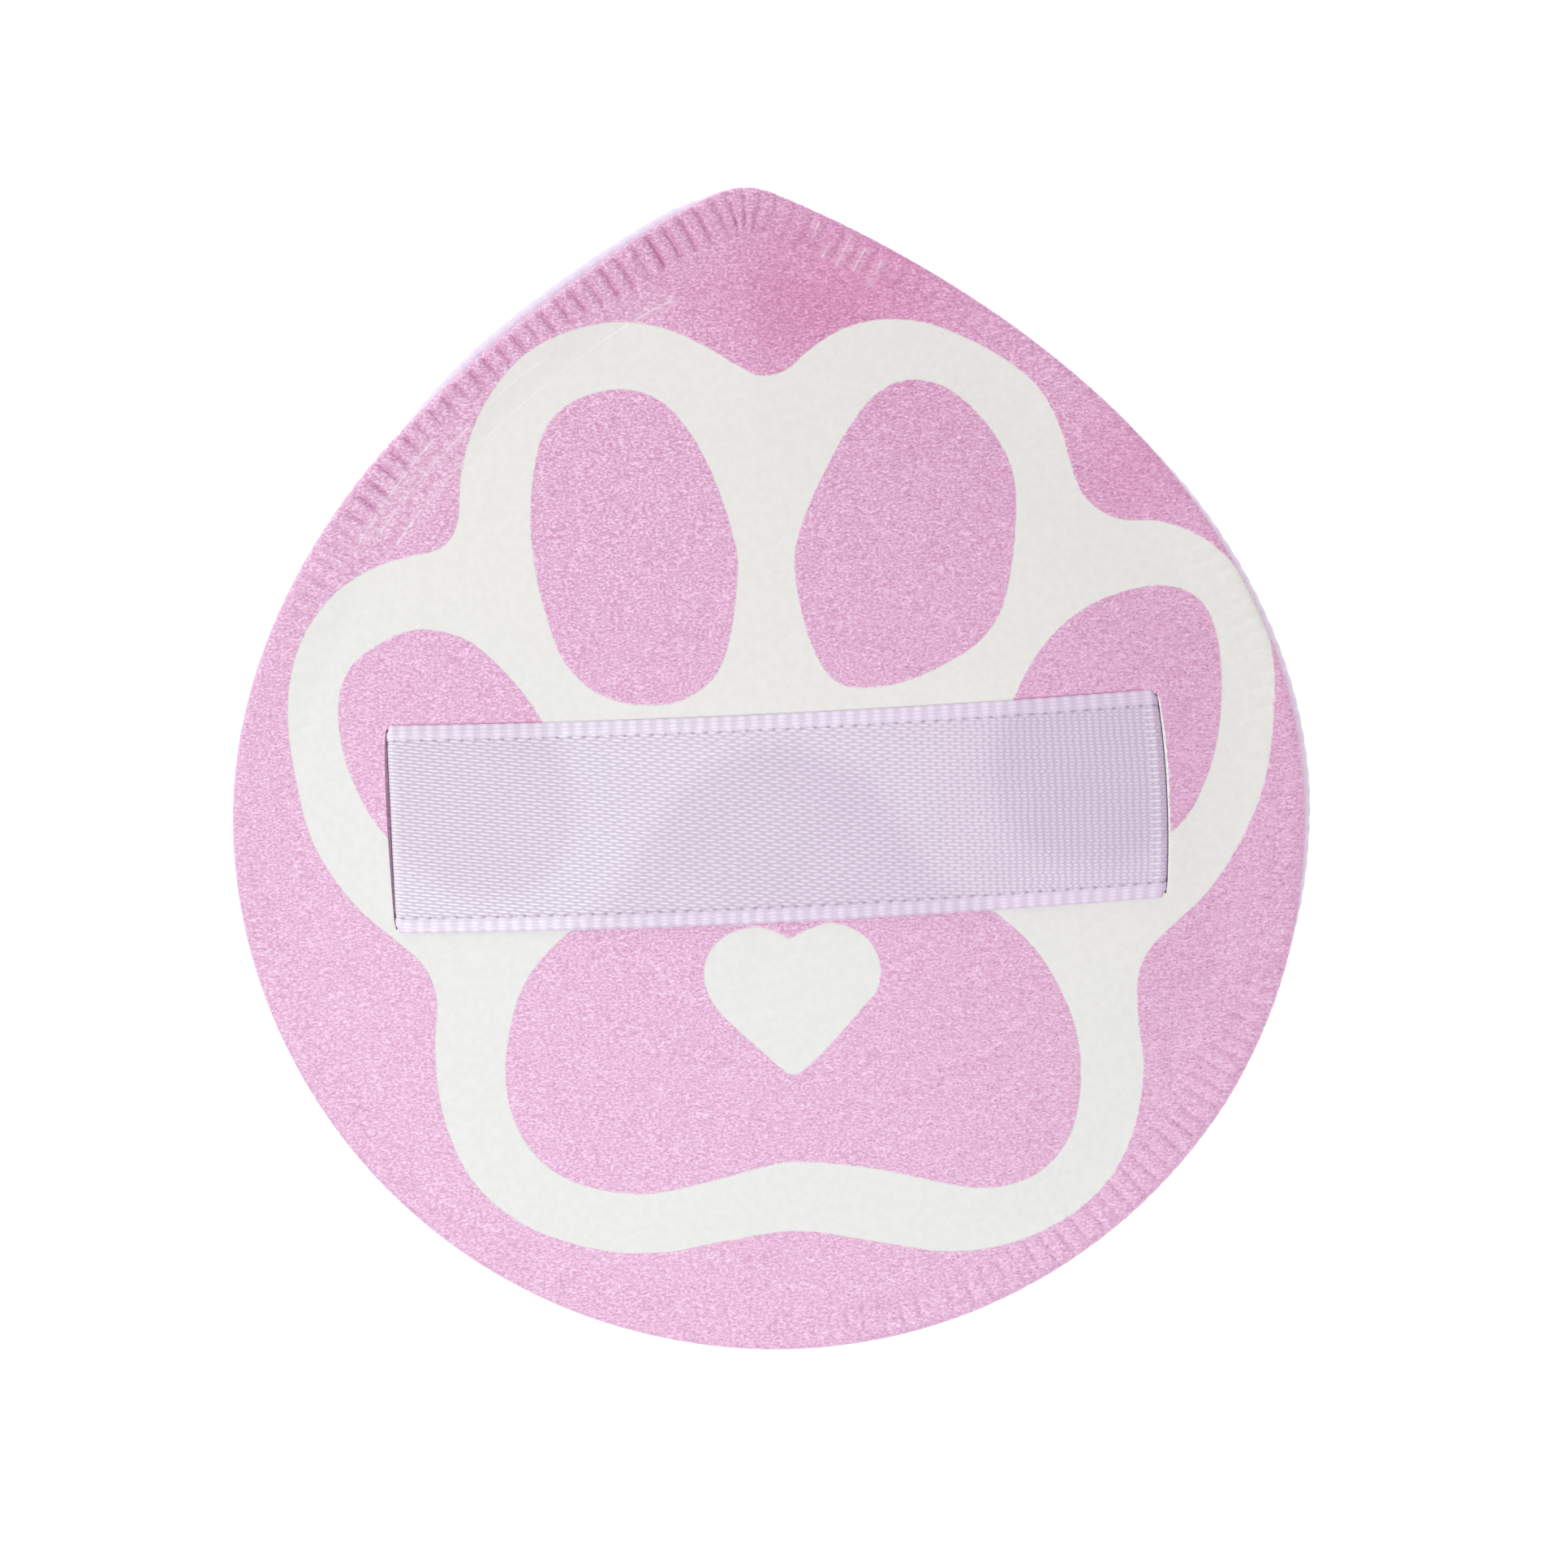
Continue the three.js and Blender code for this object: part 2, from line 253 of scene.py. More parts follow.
def inset_points(count, inset):
    """A ring's points: an even offset down to the seam's depth, then smaller and rounder."""
    points, inward, _, _ = stations(count)
    inset = np.broadcast_to(inset, (count,))
    offset = np.minimum(inset, SEAM_DEPTH)
    share = ((inset - offset) / CROWN_DEPTH)[:, None]
    arm = points + inward * offset[:, None] - CENTRE
    length = np.linalg.norm(arm, axis=1, keepdims=True)
    reach = lerp(length, CROWN_DEPTH, share) * (1 - share)
    return CENTRE + arm / length * reach


def rise(inset):
    inwards = np.clip((inset - SEAM_DEPTH) / CROWN_DEPTH, 0, 1)
    return CROWN_RISE * (1 - (1 - inwards) ** CROWN_POWER)


def level_ring(count, inset, height):
    return np.column_stack([inset_points(count, inset), np.broadcast_to(height, count)])


def square(c, power=LOOP_POWER):
    """The sine or cosine of a squarer loop, from a circle's. A power of 1 keeps it round."""
    return np.sign(c) * np.abs(c) ** power


def on_loop(middle, reach, degrees, power=1):
    """The inset and the height of a place on a loop that reaches so far from its middle."""
    a = math.radians(degrees)
    inset = middle[0] + reach[0] * square(math.cos(a), power)
    return inset, middle[1] + reach[1] * square(math.sin(a), power)


def between(a, n, b, m):
    """Faces from a ring of n points, the first one a, to a ring of m: as many, double, half or one."""
    if n > m:
        return [(face[0], *face[:0:-1]) for face in between(b, m, a, n)]
    if n == 1:
        return [(a, b + i, b + (i + 1) % m) for i in range(m)]
    faces = []
    for i in range(n):
        j = (i + 1) % n
        if n == m:
            faces.append((a + i, b + i, b + j, a + j))
        else:
            k = b + 2 * i
            faces += [(a + i, k, k + 1), (a + i, k + 1, a + j), (a + j, k + 1, b + 2 * j)]
    return faces


class Rings:
    """Rings of points joined into one surface."""

    def __init__(self):
        self.places, self.faces = [], []
        self.total = 0

    def add(self, ring):
        ring = np.atleast_2d(ring)
        if self.places:
            last = len(self.places[-1])
            self.faces += between(self.total - last, last, self.total, len(ring))
        self.total += len(ring)
        self.places.append(ring)

    def piece(self, name, materials):
        return mesh_object(name, np.concatenate(self.places), self.faces, materials)


# The print.

PAW = [
    (938, 463), (968, 456), (993, 434), (1016, 417), (1051, 400), (1095, 393), (1150, 400), (1220, 431),
    (1275, 472), (1305, 523), (1324, 586), (1342, 618), (1378, 639), (1430, 642), (1481, 661),
    (1522, 698), (1553, 745), (1568, 806), (1570, 872), (1559, 960), (1531, 1032), (1490, 1096),
    (1446, 1139), (1417, 1169), (1402, 1205), (1403, 1260), (1409, 1320), (1397, 1392), (1366, 1454),
    (1312, 1502), (1240, 1533), (1165, 1542), (1080, 1530), (985, 1517), (900, 1528), (820, 1543),
    (737, 1540), (645, 1509), (580, 1452), (545, 1371), (536, 1292), (538, 1232), (522, 1190),
    (484, 1156), (434, 1112), (387, 1042), (364, 960), (354, 880), (363, 812), (388, 760), (427, 719),
    (479, 692), (541, 676), (563, 645), (567, 590), (581, 532), (607, 481), (646, 437), (693, 411),
    (750, 397), (810, 402), (864, 424), (908, 450),
]
TOES = [
    [(734, 484), (773, 480), (810, 492), (840, 520), (867, 562), (887, 609), (902, 657), (909, 700),
    (900, 781), (881, 833), (842, 862), (795, 869), (739, 856), (695, 815), (671, 752), (656, 682),
    (654, 620), (661, 562), (675, 523), (700, 498)],
    [(1122, 468), (1170, 480), (1217, 524), (1247, 580), (1251, 650), (1239, 733), (1217, 779),
    (1177, 811), (1120, 838), (1070, 847), (1031, 840), (1004, 804), (985, 743), (979, 687),
    (990, 640), (1015, 583), (1047, 525), (1081, 484)],
    [(529, 776), (579, 791), (629, 836), (667, 887), (695, 941), (708, 1000), (690, 1060), (640, 1098),
    (580, 1106), (520, 1078), (475, 1030), (445, 985), (422, 925), (417, 865), (432, 822), (463, 796),
    (497, 780)],
    [(1440, 722), (1480, 741), (1500, 785), (1505, 850), (1498, 920), (1475, 985), (1445, 1024),
    (1400, 1052), (1345, 1064), (1280, 1050), (1235, 1005), (1222, 940), (1250, 858), (1285, 796),
    (1331, 753), (1386, 728)],
]
PAD = [
    (694, 1155), (656, 1196), (634, 1243), (623, 1310), (630, 1370), (658, 1422), (711, 1458),
    (795, 1471), (885, 1453), (935, 1439), (985, 1431), (1080, 1440), (1199, 1463), (1270, 1450),
    (1315, 1405), (1331, 1340), (1326, 1271), (1302, 1211), (1267, 1160), (1215, 1117), (1150, 1078),
    (1105, 1010), (1050, 950), (950, 920), (860, 955), (800, 1030), (750, 1110),
]
HEART = [
    (972, 1157), (972, 1157), (953, 1147), (927, 1142), (895, 1152), (874, 1173), (867, 1200),
    (873, 1226), (890, 1251), (930, 1288), (963, 1317), (977, 1324), (991, 1318), (1022, 1288),
    (1064, 1240), (1080, 1221), (1085, 1195), (1078, 1170), (1058, 1148), (1027, 1137), (998, 1144),
]
CREASES = [
    [(486, 675), (519, 628), (570, 570), (621, 519), (675, 472), (741, 421), (799, 385), (828, 370)],
    [(434, 683), (483, 606), (534, 541)],
    [(461, 668), (505, 606), (577, 526)],
    [(603, 497), (650, 457), (679, 439)],
    [(1530, 786), (1553, 778)],
    [(1526, 812), (1556, 800)],
    [(1544, 852), (1562, 846)],
    [(1010, 272), (1004, 286)],
    [(1023, 299), (1012, 318)],
    [(1049, 290), (1031, 326)],
    [(1066, 306), (1052, 332)],
    [(1088, 320), (1070, 350)],
]
HAZE_START = 0.26  # beside a crease, where its haze begins to fade
HAZE_END = 0.36


def ink_at(points):
    """Distance from the edge of the print in millimetres, positive where the back is pink."""
    within = lambda line: signed(spline(from_px(line), True, 6), points)
    ink = np.maximum(-within(PAW), np.minimum(within(PAD), -within(HEART)))
    for toe in TOES:
        ink = np.maximum(ink, within(toe))
    return ink


def creases_at(points):
    """The signed distance to the nearest crease, and 1 beside one, 0 away from them all."""
    side, here = np.zeros((2, len(points)))
    for line in CREASES:
        line = spline(from_px(line), False, 2)
        for a, b in zip(line[:-1], line[1:]):
            along = (b - a) / np.linalg.norm(b - a)
            arm = points - a
            reach = arm @ along
            off = arm @ (-along[1], along[0])
            on = (reach > 0) & (reach <= np.linalg.norm(b - a)) & (np.abs(off) < HAZE_END)
            side[on] = off[on]
            here[on] = 1 - smooth(np.abs(off[on]), HAZE_START, HAZE_END)
    return side, here


# Materials.


def rgb(r, g, b):
    """Scene colour of an 8-bit sRGB one."""
    line = lambda c: c / 12.92 if c <= 0.04045 else ((c + 0.055) / 1.055) ** 2.4
    return (line(r / 255), line(g / 255), line(b / 255), 1.0)


INK = rgb(203, 133, 176), rgb(242, 200, 233)
INK_LILAC = rgb(194, 148, 196)
INK_GLINT = rgb(255, 232, 248)
INK_SPECK = rgb(172, 88, 136)
INK_GROOVE_SHADE = rgb(176, 96, 148)
INK_SHADED = rgb(243, 198, 222)
INK_RIBBON_SHADOW = rgb(196, 106, 162)
GRAIN = rgb(226, 226, 224), rgb(230, 230, 228)
GRAIN_SHADED = rgb(251, 240, 232)
SCRATCH = rgb(250, 246, 249)
CORE = rgb(226, 222, 222), rgb(250, 249, 247)
CUT_SHADE = rgb(140, 102, 130), rgb(168, 126, 156)
FLOATS = rgb(199, 185, 207), rgb(238, 231, 241)
BEADS = rgb(219, 207, 227), rgb(238, 231, 243)
SATIN_SHOW_THROUGH_SHADE = rgb(247, 244, 247)
SATIN_SHADE_AT_RIGHT = rgb(252, 244, 251)
NEEDLE_HOLE_SHADE = rgb(140, 108, 142)
BEND_LOOP_HIGHLIGHT = rgb(250, 248, 252)
BEND_STROKE = rgb(250, 246, 252)
BEND_SHADE = rgb(232, 222, 234)
FACE = rgb(240, 224, 247), rgb(248, 236, 252)
FACE_PORE = rgb(222, 202, 234)
THREAD = rgb(208, 194, 226), rgb(236, 228, 246)
FOAM = rgb(214, 209, 200), rgb(248, 245, 238)


class Value:
    """A node's output. Sums with it are written as with a number."""

    def __init__(self, look, socket):
        self.look, self.socket = look, socket

    def math(self, operation, *others):
        return self.look.value("Math", enumerate((self, *others)), operation=operation)

    def ramp(self, low, high, to_low=0, to_high=1):
        """A smooth step."""
        inputs = enumerate((self, low, high, to_low, to_high))
        return self.look.value("MapRange", inputs, interpolation_type="SMOOTHSTEP")

    def mix(self, a, b, blend="MIX"):
        """A colour with this share of b in it."""
        inputs = {0: self, 6: a, 7: b}
        return self.look.value("Mix", inputs, 2, data_type="RGBA", blend_type=blend)

    def __rsub__(self, other):
        return self.look.value("Math", enumerate((other, self)), operation="SUBTRACT")

    __add__ = lambda self, other: self.math("ADD", other)
    __sub__ = lambda self, other: self.math("SUBTRACT", other)
    __mul__ = lambda self, other: self.math("MULTIPLY", other)
    __truediv__ = lambda self, other: self.math("DIVIDE", other)
    __pow__ = lambda self, other: self.math("POWER", other)
    __abs__ = lambda self: self.math("ABSOLUTE")


class Look:
    """A node material, written as short expressions."""

    def __init__(self, name, shader="BsdfPrincipled", **constants):
        self.material = bpy.data.materials.new(name)
        self.material.use_nodes = True
        self.tree = self.material.node_tree
        self.tree.nodes.clear()
        self.shader = self.tree.nodes.new("ShaderNode" + shader)
        surface = self.tree.nodes.new("ShaderNodeOutputMaterial").inputs["Surface"]
        self.plug(Value(self, self.shader.outputs[0]), surface)
        self.set(**constants)

    def plug(self, value, socket):
        if isinstance(value, Value):
            self.tree.links.new(value.socket, socket)
        else:
            socket.default_value = value

    def set(self, **values):
        for key, value in values.items():
            self.plug(value, self.shader.inputs[key.replace("_", " ")])

    def value(self, kind, inputs, output=0, **props):
        """The output of a new node, whose inputs are given by index or by name."""
        made = self.tree.nodes.new("ShaderNode" + kind)
        for key, value in props.items():
            setattr(made, key, value)
        for key, value in dict(inputs).items():
            self.plug(value, made.inputs[key])
        return Value(self, made.outputs[output])

    def __getitem__(self, name):
        """What a piece stores under a name."""
        return self.value("Attribute", (), "Fac", attribute_name=name)

    def place(self, stretch=(1, 1, 1), turn=0.0):
        """Object coordinates in millimetres, stretched and turned about Z."""
        inputs = {
            "Vector": self.value("TexCoord", (), "Object"),
            "Scale": tuple(s / MM for s in stretch),
            "Rotation": (0, 0, turn),
        }
        return self.value("Mapping", inputs)

    def axis(self, index):
        """One of the object coordinates, in millimetres."""
        return self.value("SeparateXYZ", {0: self.value("TexCoord", (), "Object")}, index) * (1 / MM)

    def noise(self, scale, detail=2.0, roughness=0.5, stretch=(1, 1, 1), turn=0.0, output="Fac"):
        place = self.place(stretch, turn)
        inputs = {"Vector": place, "Scale": scale, "Detail": detail, "Roughness": roughness}
        return self.value("TexNoise", inputs, output)

    def cells(self, scale):
        return self.value("TexVoronoi", {"Vector": self.place(), "Scale": scale}, "Distance")

    def bump(self, height, depth, strength, over=None):
        """A bump of a depth in millimetres, over another one if that is given."""
        inputs = {"Height": height, "Distance": depth * MM, "Strength": strength}
        if over:
            inputs["Normal"] = over
        return self.value("Bump", inputs)


def leatherette_look():
    """White grained leatherette with a pearl-flecked pink print on it."""
    look = Look("printed_leatherette", IOR=1.7, Specular_IOR_Level=1.0)
    x, y = look.axis(0), look.axis(1)
    ragged = look.noise(4.0, 3, 0.6) - 0.5
    pink = (ragged * 0.12 + look["ink"]).ramp(-0.05, 0.05)
    # Flecks of the print, and wavy rows of the backing cloth that show through the film.
    flecks = look.noise(6.6, 2.0, 0.6, (1, 1.7, 1), TURN, "Color")
    rows = look.noise(1.3, 2.0, 0.55, (1.6, 7.5, 1), TURN)
    fleck, hue, dark = (look.value("SeparateColor", {0: flecks}, k) for k in range(3))
    # Painted shade: the rows grow stronger to the right, where the light grazes the grain.
    fleck = x.ramp(-14, 20, 0.05, 0.3).mix(fleck, rows)
    light = (fleck - 0.5) * y.ramp(0, 22, 0.92, 1.2) + 0.5
    ink = light.ramp(0.3, 0.68).mix(*INK)
    ink = hue.ramp(0.5, 0.72, 0, 0.5).mix(ink, INK_LILAC)
    # The palest flecks are painted glints of the pearl, over the flakes' own pale pink.
    ink = light.ramp(0.56, 0.72, 0, 0.75).mix(ink, INK_GLINT)
    # Painted shade: more dark specks to the right, for the same grazing light.
    ink = dark.ramp(0.55, 0.72, 0, x.ramp(-14, 16, 0.35, 0.75)).mix(ink, INK_SPECK)
    # Painted shade: the pink is darker in the grooves between the ribs.
    ink = (look["rib"] * 0.34).mix(ink, INK_GROOVE_SHADE)
    # Painted shade: the pink darkens towards the upper right and below the tip.
    ink = look["tint"].mix(ink, INK_SHADED, "MULTIPLY")
    # Painted shadow: a dark pink line along the ribbon's edge.
    ink = abs(look["beside_ribbon"]).ramp(0.05, 0.13, 0.65, 0).mix(ink, INK_RIBBON_SHADOW)
    grain = look.noise(2.6, 4, 0.55)
    white = grain.ramp(0.35, 0.65).mix(*GRAIN)
    # Painted shade on the white too: darker and warmer towards the upper right.
    white = look["tint"].math("MINIMUM", 0.25).mix(white, GRAIN_SHADED, "MULTIPLY")
    # Scratches are broken lines with a faint haze beside them.
    near = look["crease_here"]
    scratch = abs(look["crease_side"]).ramp(0.015, 0.085, 1, 0) * near
    scratch = scratch * look.noise(1.4).ramp(0.35, 0.6, 0.3, 1) * pink.ramp(0, 1, 0.75, 1)
    haze = near * pink.ramp(0, 1, 0, 0.07)
    colour = (scratch * 0.46).math("MAXIMUM", haze).mix(pink.mix(white, ink), SCRATCH)
    look.set(Base_Color=colour, Roughness=pink.ramp(0, 1, 0.85, 0.58))
    grained = look.bump(grain * 0.8 + look.cells(4.2), 0.025, 0.35)
    flecked = look.bump(light * pink, 0.08, 0.6, grained)
    look.set(Normal=look.bump(scratch, 0.02, 0.5, flecked))
    return look.material


def fibre_look(name, roughness, colours, scale, stretch, depth):
    """Yarn or cloth seen at its edge: rows of fibres."""
    look = Look(name, Roughness=roughness)
    fibres = look.noise(scale, 3, 0.6, stretch)
    look.set(Base_Color=fibres.ramp(0.3, 0.7).mix(*colours), Normal=look.bump(fibres, depth, 0.7))
    return look.material


def satin_look():
    """Lavender satin: sloping rows of light floats, beaded selvedges, the print's show-through painted as
    shade.
    """
    look = Look("ribbon_satin", IOR=1.6, Specular_IOR_Level=1.0)
    x = look.axis(0)
    across, band, from_end = look["across"], look["band"], look["from_end"]
    repeats = look["along"] / BEAD_PITCH
    # The floats lie in a brickwork, long at the left, with twice as many short ones at the right.
    rows = (across + look["slope"]) / ROW_PITCH
    row = rows.math("ROUND")
    off_middle = abs(rows - row)
    phase = repeats + row * 0.5 + look.noise(1.0, 1, stretch=(0.5, 6, 1)) * 0.5
    run, run_twice = (abs(value.math("FRACT") * 2 - 1) for value in (phase, phase * 2))
    run = (run_twice - run) * x.ramp(2, 15) + run
    sunk = run.ramp(0.5, 0.95) * off_middle.ramp(0.15, 0.4, 0.2, 0) * x.ramp(-12, 16, 0, 0.8)
    blunt = 1 - (run / x.ramp(-18, 0, 0.95, 0.74)) ** 3.5
    light = (blunt * 0.26 - off_middle).ramp(-0.22, 0.22)
    light = light * x.ramp(-18, 0, 0.94, 0.76) + x.ramp(-18, 0, 0.01, 0.19) - sunk
    # The selvedge has beads, which fine lines cross, and a row of needle holes inside it, filled with
    # painted shade.
    lines = (across * (2 * math.pi / ROW_PITCH)).math("COSINE")
    bright = (lines * 0.18 + 0.36) * (look.noise(1.5) + 0.5) * look["bead"] * 2.2
    colour = band.mix(light.mix(*FLOATS), bright.ramp(0.1, 0.9).mix(*BEADS))
    off_row = abs(look["inwards"] - GUTTER)
    off_hole = abs((repeats + 0.1).math("FRACT") - 0.5) * BEAD_PITCH
    hole = (off_row + off_hole * 0.6).ramp(0.03, 0.13, 1, 0)
    colour = (hole * 0.6).mix(colour, NEEDLE_HOLE_SHADE)
    # Painted shade: the satin is darker where the print lies beneath it, for the show-through.
    colour = look["ink"].ramp(-0.8, 0.7).mix(colour, SATIN_SHOW_THROUGH_SHADE, "MULTIPLY")
    # Painted shade: the satin darkens and turns pinker to the right.
    colour = x.ramp(-14, 18).mix(colour, SATIN_SHADE_AT_RIGHT, "MULTIPLY")
    # The left bend shows pale loops, brightened as a painted highlight. At the right every second row is
    # stretched, before a bend darkened with painted shade.
    colour = (look["bend"] * (lines * 0.3 + 0.45)).mix(colour, BEND_LOOP_HIGHLIGHT)
    every_second = (across * (math.pi / ROW_PITCH)).math("COSINE")
    strokes = from_end.ramp(0.22, 0.34) * from_end.ramp(0.62, 0.82, 1, 0)
    strokes = strokes * every_second.ramp(0.3, 1.0, 0, 0.5) * (1 - band)
    colour = strokes.mix(colour, BEND_STROKE)
    colour = from_end.ramp(0.12, 0.32, 1, 0).mix(colour, BEND_SHADE, "MULTIPLY")
    look.set(Base_Color=colour, Roughness=light.ramp(0, 1, 0.6, 0.42))
    look.set(Normal=look.bump(band.mix(light, lines * 0.3), 0.03, 0.5))
    return look.material


def face_look():
    """Lavender skin of fine-cell foam: matt, with very fine pores and a soft nap."""
    look = Look("applicator_foam_skin", Roughness=0.88, Sheen_Weight=0.25, Sheen_Roughness=0.5)
    nap = look.noise(3.5, 5, 0.65)
    pores = look.cells(5.5)
    colour = nap.ramp(0.3, 0.7).mix(*FACE)
    look.set(Base_Color=pores.ramp(0.12, 0.3, 0.35, 0).mix(colour, FACE_PORE))
    look.set(Normal=look.bump(nap + pores * 0.6, 0.06, 0.6))
    return look.material


def foam_look():
    look = Look("open_cell_foam", Roughness=0.95)
    cells = look.cells(3.0) + look.cells(7.0) * 0.5
    look.set(Base_Color=cells.ramp(0.2, 0.8).mix(*FOAM), Normal=look.bump(cells, 0.15, 0.8))
    return look.material


def floor_look():
    """White to the camera, pale in bounced light, and darker in the puff's shadow."""
    look = Look("floor_white", "AddShader")
    camera_ray, glossy, through = (
        look.value("LightPath", (), "Is %s Ray" % kind) for kind in ("Camera", "Glossy", "Transmission")
    )
    seen = camera_ray.math("MAXIMUM", glossy).math("MAXIMUM", through)
    diffuse = {"Color": camera_ray.ramp(0, 1, FLOOR_BOUNCE, FLOOR_SEEN)}
    look.plug(look.value("BsdfDiffuse", diffuse), look.shader.inputs[0])
    look.plug(look.value("Emission", {"Strength": seen * FLOOR_GLOW}), look.shader.inputs[1])
    return look.material


# Back cover.

RIB_DEPTH = 0.21
RIB_SWELL = 0.03  # of the back between the grooves
GROOVE_WIDTH = 0.15  # in stitches
GROOVE_SHIFT = 0.07  # in stitches, at random
GROOVE_SPREAD = 0.22  # of the depth, at random
CROWN_SLOPE = CROWN_RISE * CROWN_POWER / CROWN_DEPTH  # beside the seam
TUCK_POWER = 0.75  # of the fold's loop below its middle, which is rounder than above
SIDE_INK_DROP = 0.18  # how far down the rolled edge the pink begins where the paw reaches it
BULGE_FLOOR = 6.0  # the slits' bulges leave the back as it is below this height
RIB_SHARE = {
    0: 0.15, 40: 0.14, 75: 0.25, 88: 0.6, 98: 1.0, 138: 0.9, 148: 0.45, 158: 0.22, 175: 0.1, 200: 0.04,
    250: 0.05, 285: 0.15, 305: 0.4, 330: 0.4, 345: 0.2,
}
# How far in from the widest outline the ribs reach.
RIB_END = {0: 2.1, 75: 1.9, 92: 2.3, 106: 2.2, 115: 1.6, 127: 1.5, 135: 1.9, 200: 2.0, 345: 2.1}
# How far the seam's crest stands out of the crown's own slope.
CREST_SHARE = {
    0: 0.3, 40: 0.3, 75: 0.4, 110: 0.6, 140: 0.6, 160: 0.4, 185: 0.15, 210: 0.0, 265: 0.0, 300: 0.15,
    335: 0.3,
}
# How far the back's edge lies inside the widest outline, and the face's own edge.
COVER_EDGE = {
    0: 0.27, 20: 0.32, 35: 0.25, 46: 0.18, 60: 0.16, 86: 0.17, 92: 0.12, 98: 0.06, 108: 0.13, 120: 0.1,
    128: 0.05, 138: -0.04, 160: -0.05, 190: -0.12, 220: -0.07, 255: 0.04, 285: -0.02, 325: -0.02,
    338: 0.08, 348: 0.19,
}
FACE_EDGE = {
    0: 0.0, 20: 0.08, 35: 0.1, 46: 0.2, 60: 0.28, 86: 0.28, 92: 0.08, 97: -0.26, 120: -0.34, 126: -0.2,
    133: 0.06, 150: 0.12, 190: 0.05, 220: 0.1, 255: 0.2, 285: 0.15, 338: 0.15, 348: 0.06,
}
# How much lower the back's edge lies than the crown's own slope would bring it.
EDGE_DROP = {0: 0.1, 30: 0.25, 55: 0.5, 85: 0.62, 98: 0.4, 115: 0.08, 135: 0.0, 330: 0.0}
# Ovals: a middle, how far they stretch in X and Y, a radius, and a depth or a share of painted shade.
HOLLOWS = (((6.5, 26.5), (1.6, 1), 3.6, 0.2), ((21.5, -4), (1, 2.2), 3.0, 0.08))
SHADED_SPOTS = (((4.5, 25.0), (1.5, 1), 4.5, 0.75), ((18.3, 15.9), (1, 1), 3.2, 0.42))
# Waves: radians per millimetre in X and Y, a phase, and a height.
WAVES = (
    ((0.31, 0.12), 0.4, 0.016), ((-0.17, 0.36), 2.1, 0.014),
    ((0.52, -0.28), 4.4, 0.008), ((0.11, 0.61), 1.3, 0.007),
)
# Rings of the crown: points in each, the first inset, the last one, and about how far apart.
CROWN_RINGS = (
    (STITCHES // 2, 25.5, 24.6, 0.45), (STITCHES, 24.3, 21.6, 0.45),
    (2 * STITCHES, 21.2, 8.2, 0.34), (4 * STITCHES, 7.9, 3.2, 0.22),
)
# Rings of the fold, in degrees: 90 is its crest, 180 its outer side and 270 the seam.
FOLD_ANGLES = (93, 98, 105, 114, 124, 134, 144, 153, 162, 171, 180, 189, 198, 207, 216, 228, 240, 255, 270)


def per_stitch(rng, spread, turns):
    """A random value for each stitch, held over it."""
    values = rng.uniform(-spread, spread, STITCHES)
    return values[np.floor(turns * STITCHES).astype(int) % STITCHES]


def groove(turns):
    """How deep a station lies in the groove between two uneven ribs, from 0 to 1."""
    rng = np.random.default_rng(SEED)
    middle = 0.5 + per_stitch(rng, GROOVE_SHIFT, turns)
    depth = 1 + per_stitch(rng, GROOVE_SPREAD, turns)
    return depth * bell(turns * STITCHES % 1 - middle, GROOVE_WIDTH)


def edge_drop(inset, angle):
    return round_table(angle, EDGE_DROP) * (1 - smooth(inset, 1.6, 9.0))


def crest_level(inset, angle):
    """Height of the back's outside between the fold and the valley."""
    stands_out = (CREST_TOP - VALLEY_TOP) * (1 - smooth(inset, 1.8, 3.0))
    level = lerp(-CROWN_SLOPE * (SEAM_DEPTH - inset), stands_out, round_table(angle, CREST_SHARE))
    return VALLEY_TOP + level - edge_drop(inset, angle)


def spot(points, middle, stretch, radius):
    """A soft oval round a place on the back, from 1 in its middle down to 0."""
    return bell(np.hypot(*((points - CENTRE - middle) / stretch).T), radius)


def relief(points):
    """Slow hollows and swellings of the back, away from the seam."""
    hollows = sum(depth * spot(points, *oval) for *oval, depth in HOLLOWS)
    waves = sum(size * np.sin((points - CENTRE) @ steps + phase) for steps, phase, size in WAVES)
    return waves - hollows


def tint_at(points):
    """How much painted shade the back takes: least at the lower left, most below the tip and at the right.
    """
    slope = np.clip(((points - CENTRE) @ (1, 1.6) + 20) / 55, 0, 1)
    return 0.25 * slope + sum(shade_share * spot(points, *oval) for *oval, shade_share in SHADED_SPOTS)


def ribs_at(places):
    """How deep each place lies in a groove between two ribs, from 0 to 1."""
    points, _, angle, turns = stations(8 * STITCHES)
    deep = round_table(angle, RIB_SHARE) * groove(turns)
    end = round_table(angle, RIB_END)
    tree = KDTree(len(points))
    for i, (x, y) in enumerate(points):
        tree.insert((x, y, 0), i)
    tree.balance()
    out = np.zeros(len(places))
    for i in np.flatnonzero(np.hypot(places[:, 0], places[:, 1] - CENTRE[1]) > CROWN_DEPTH - 1):
        _, nearest, inset = tree.find((places[i, 0], places[i, 1], 0))
        out[i] = deep[nearest] * (1 - smooth(inset - end[nearest], -0.4, 0.1)) * smooth(inset, 0.2, 0.45)
    return out


def top_height(points, inset):
    """Height of the back's outside over the valley and the crown."""
    fade = smooth(inset, 1.9, 4.2)
    return rise(inset) + VALLEY_TOP + fade * relief(points) - edge_drop(inset, angle_of(points))


def crown_ring(count, inset, drop=0.0):
    return level_ring(count, inset, top_height(inset_points(count, inset), np.full(count, inset)) - drop)


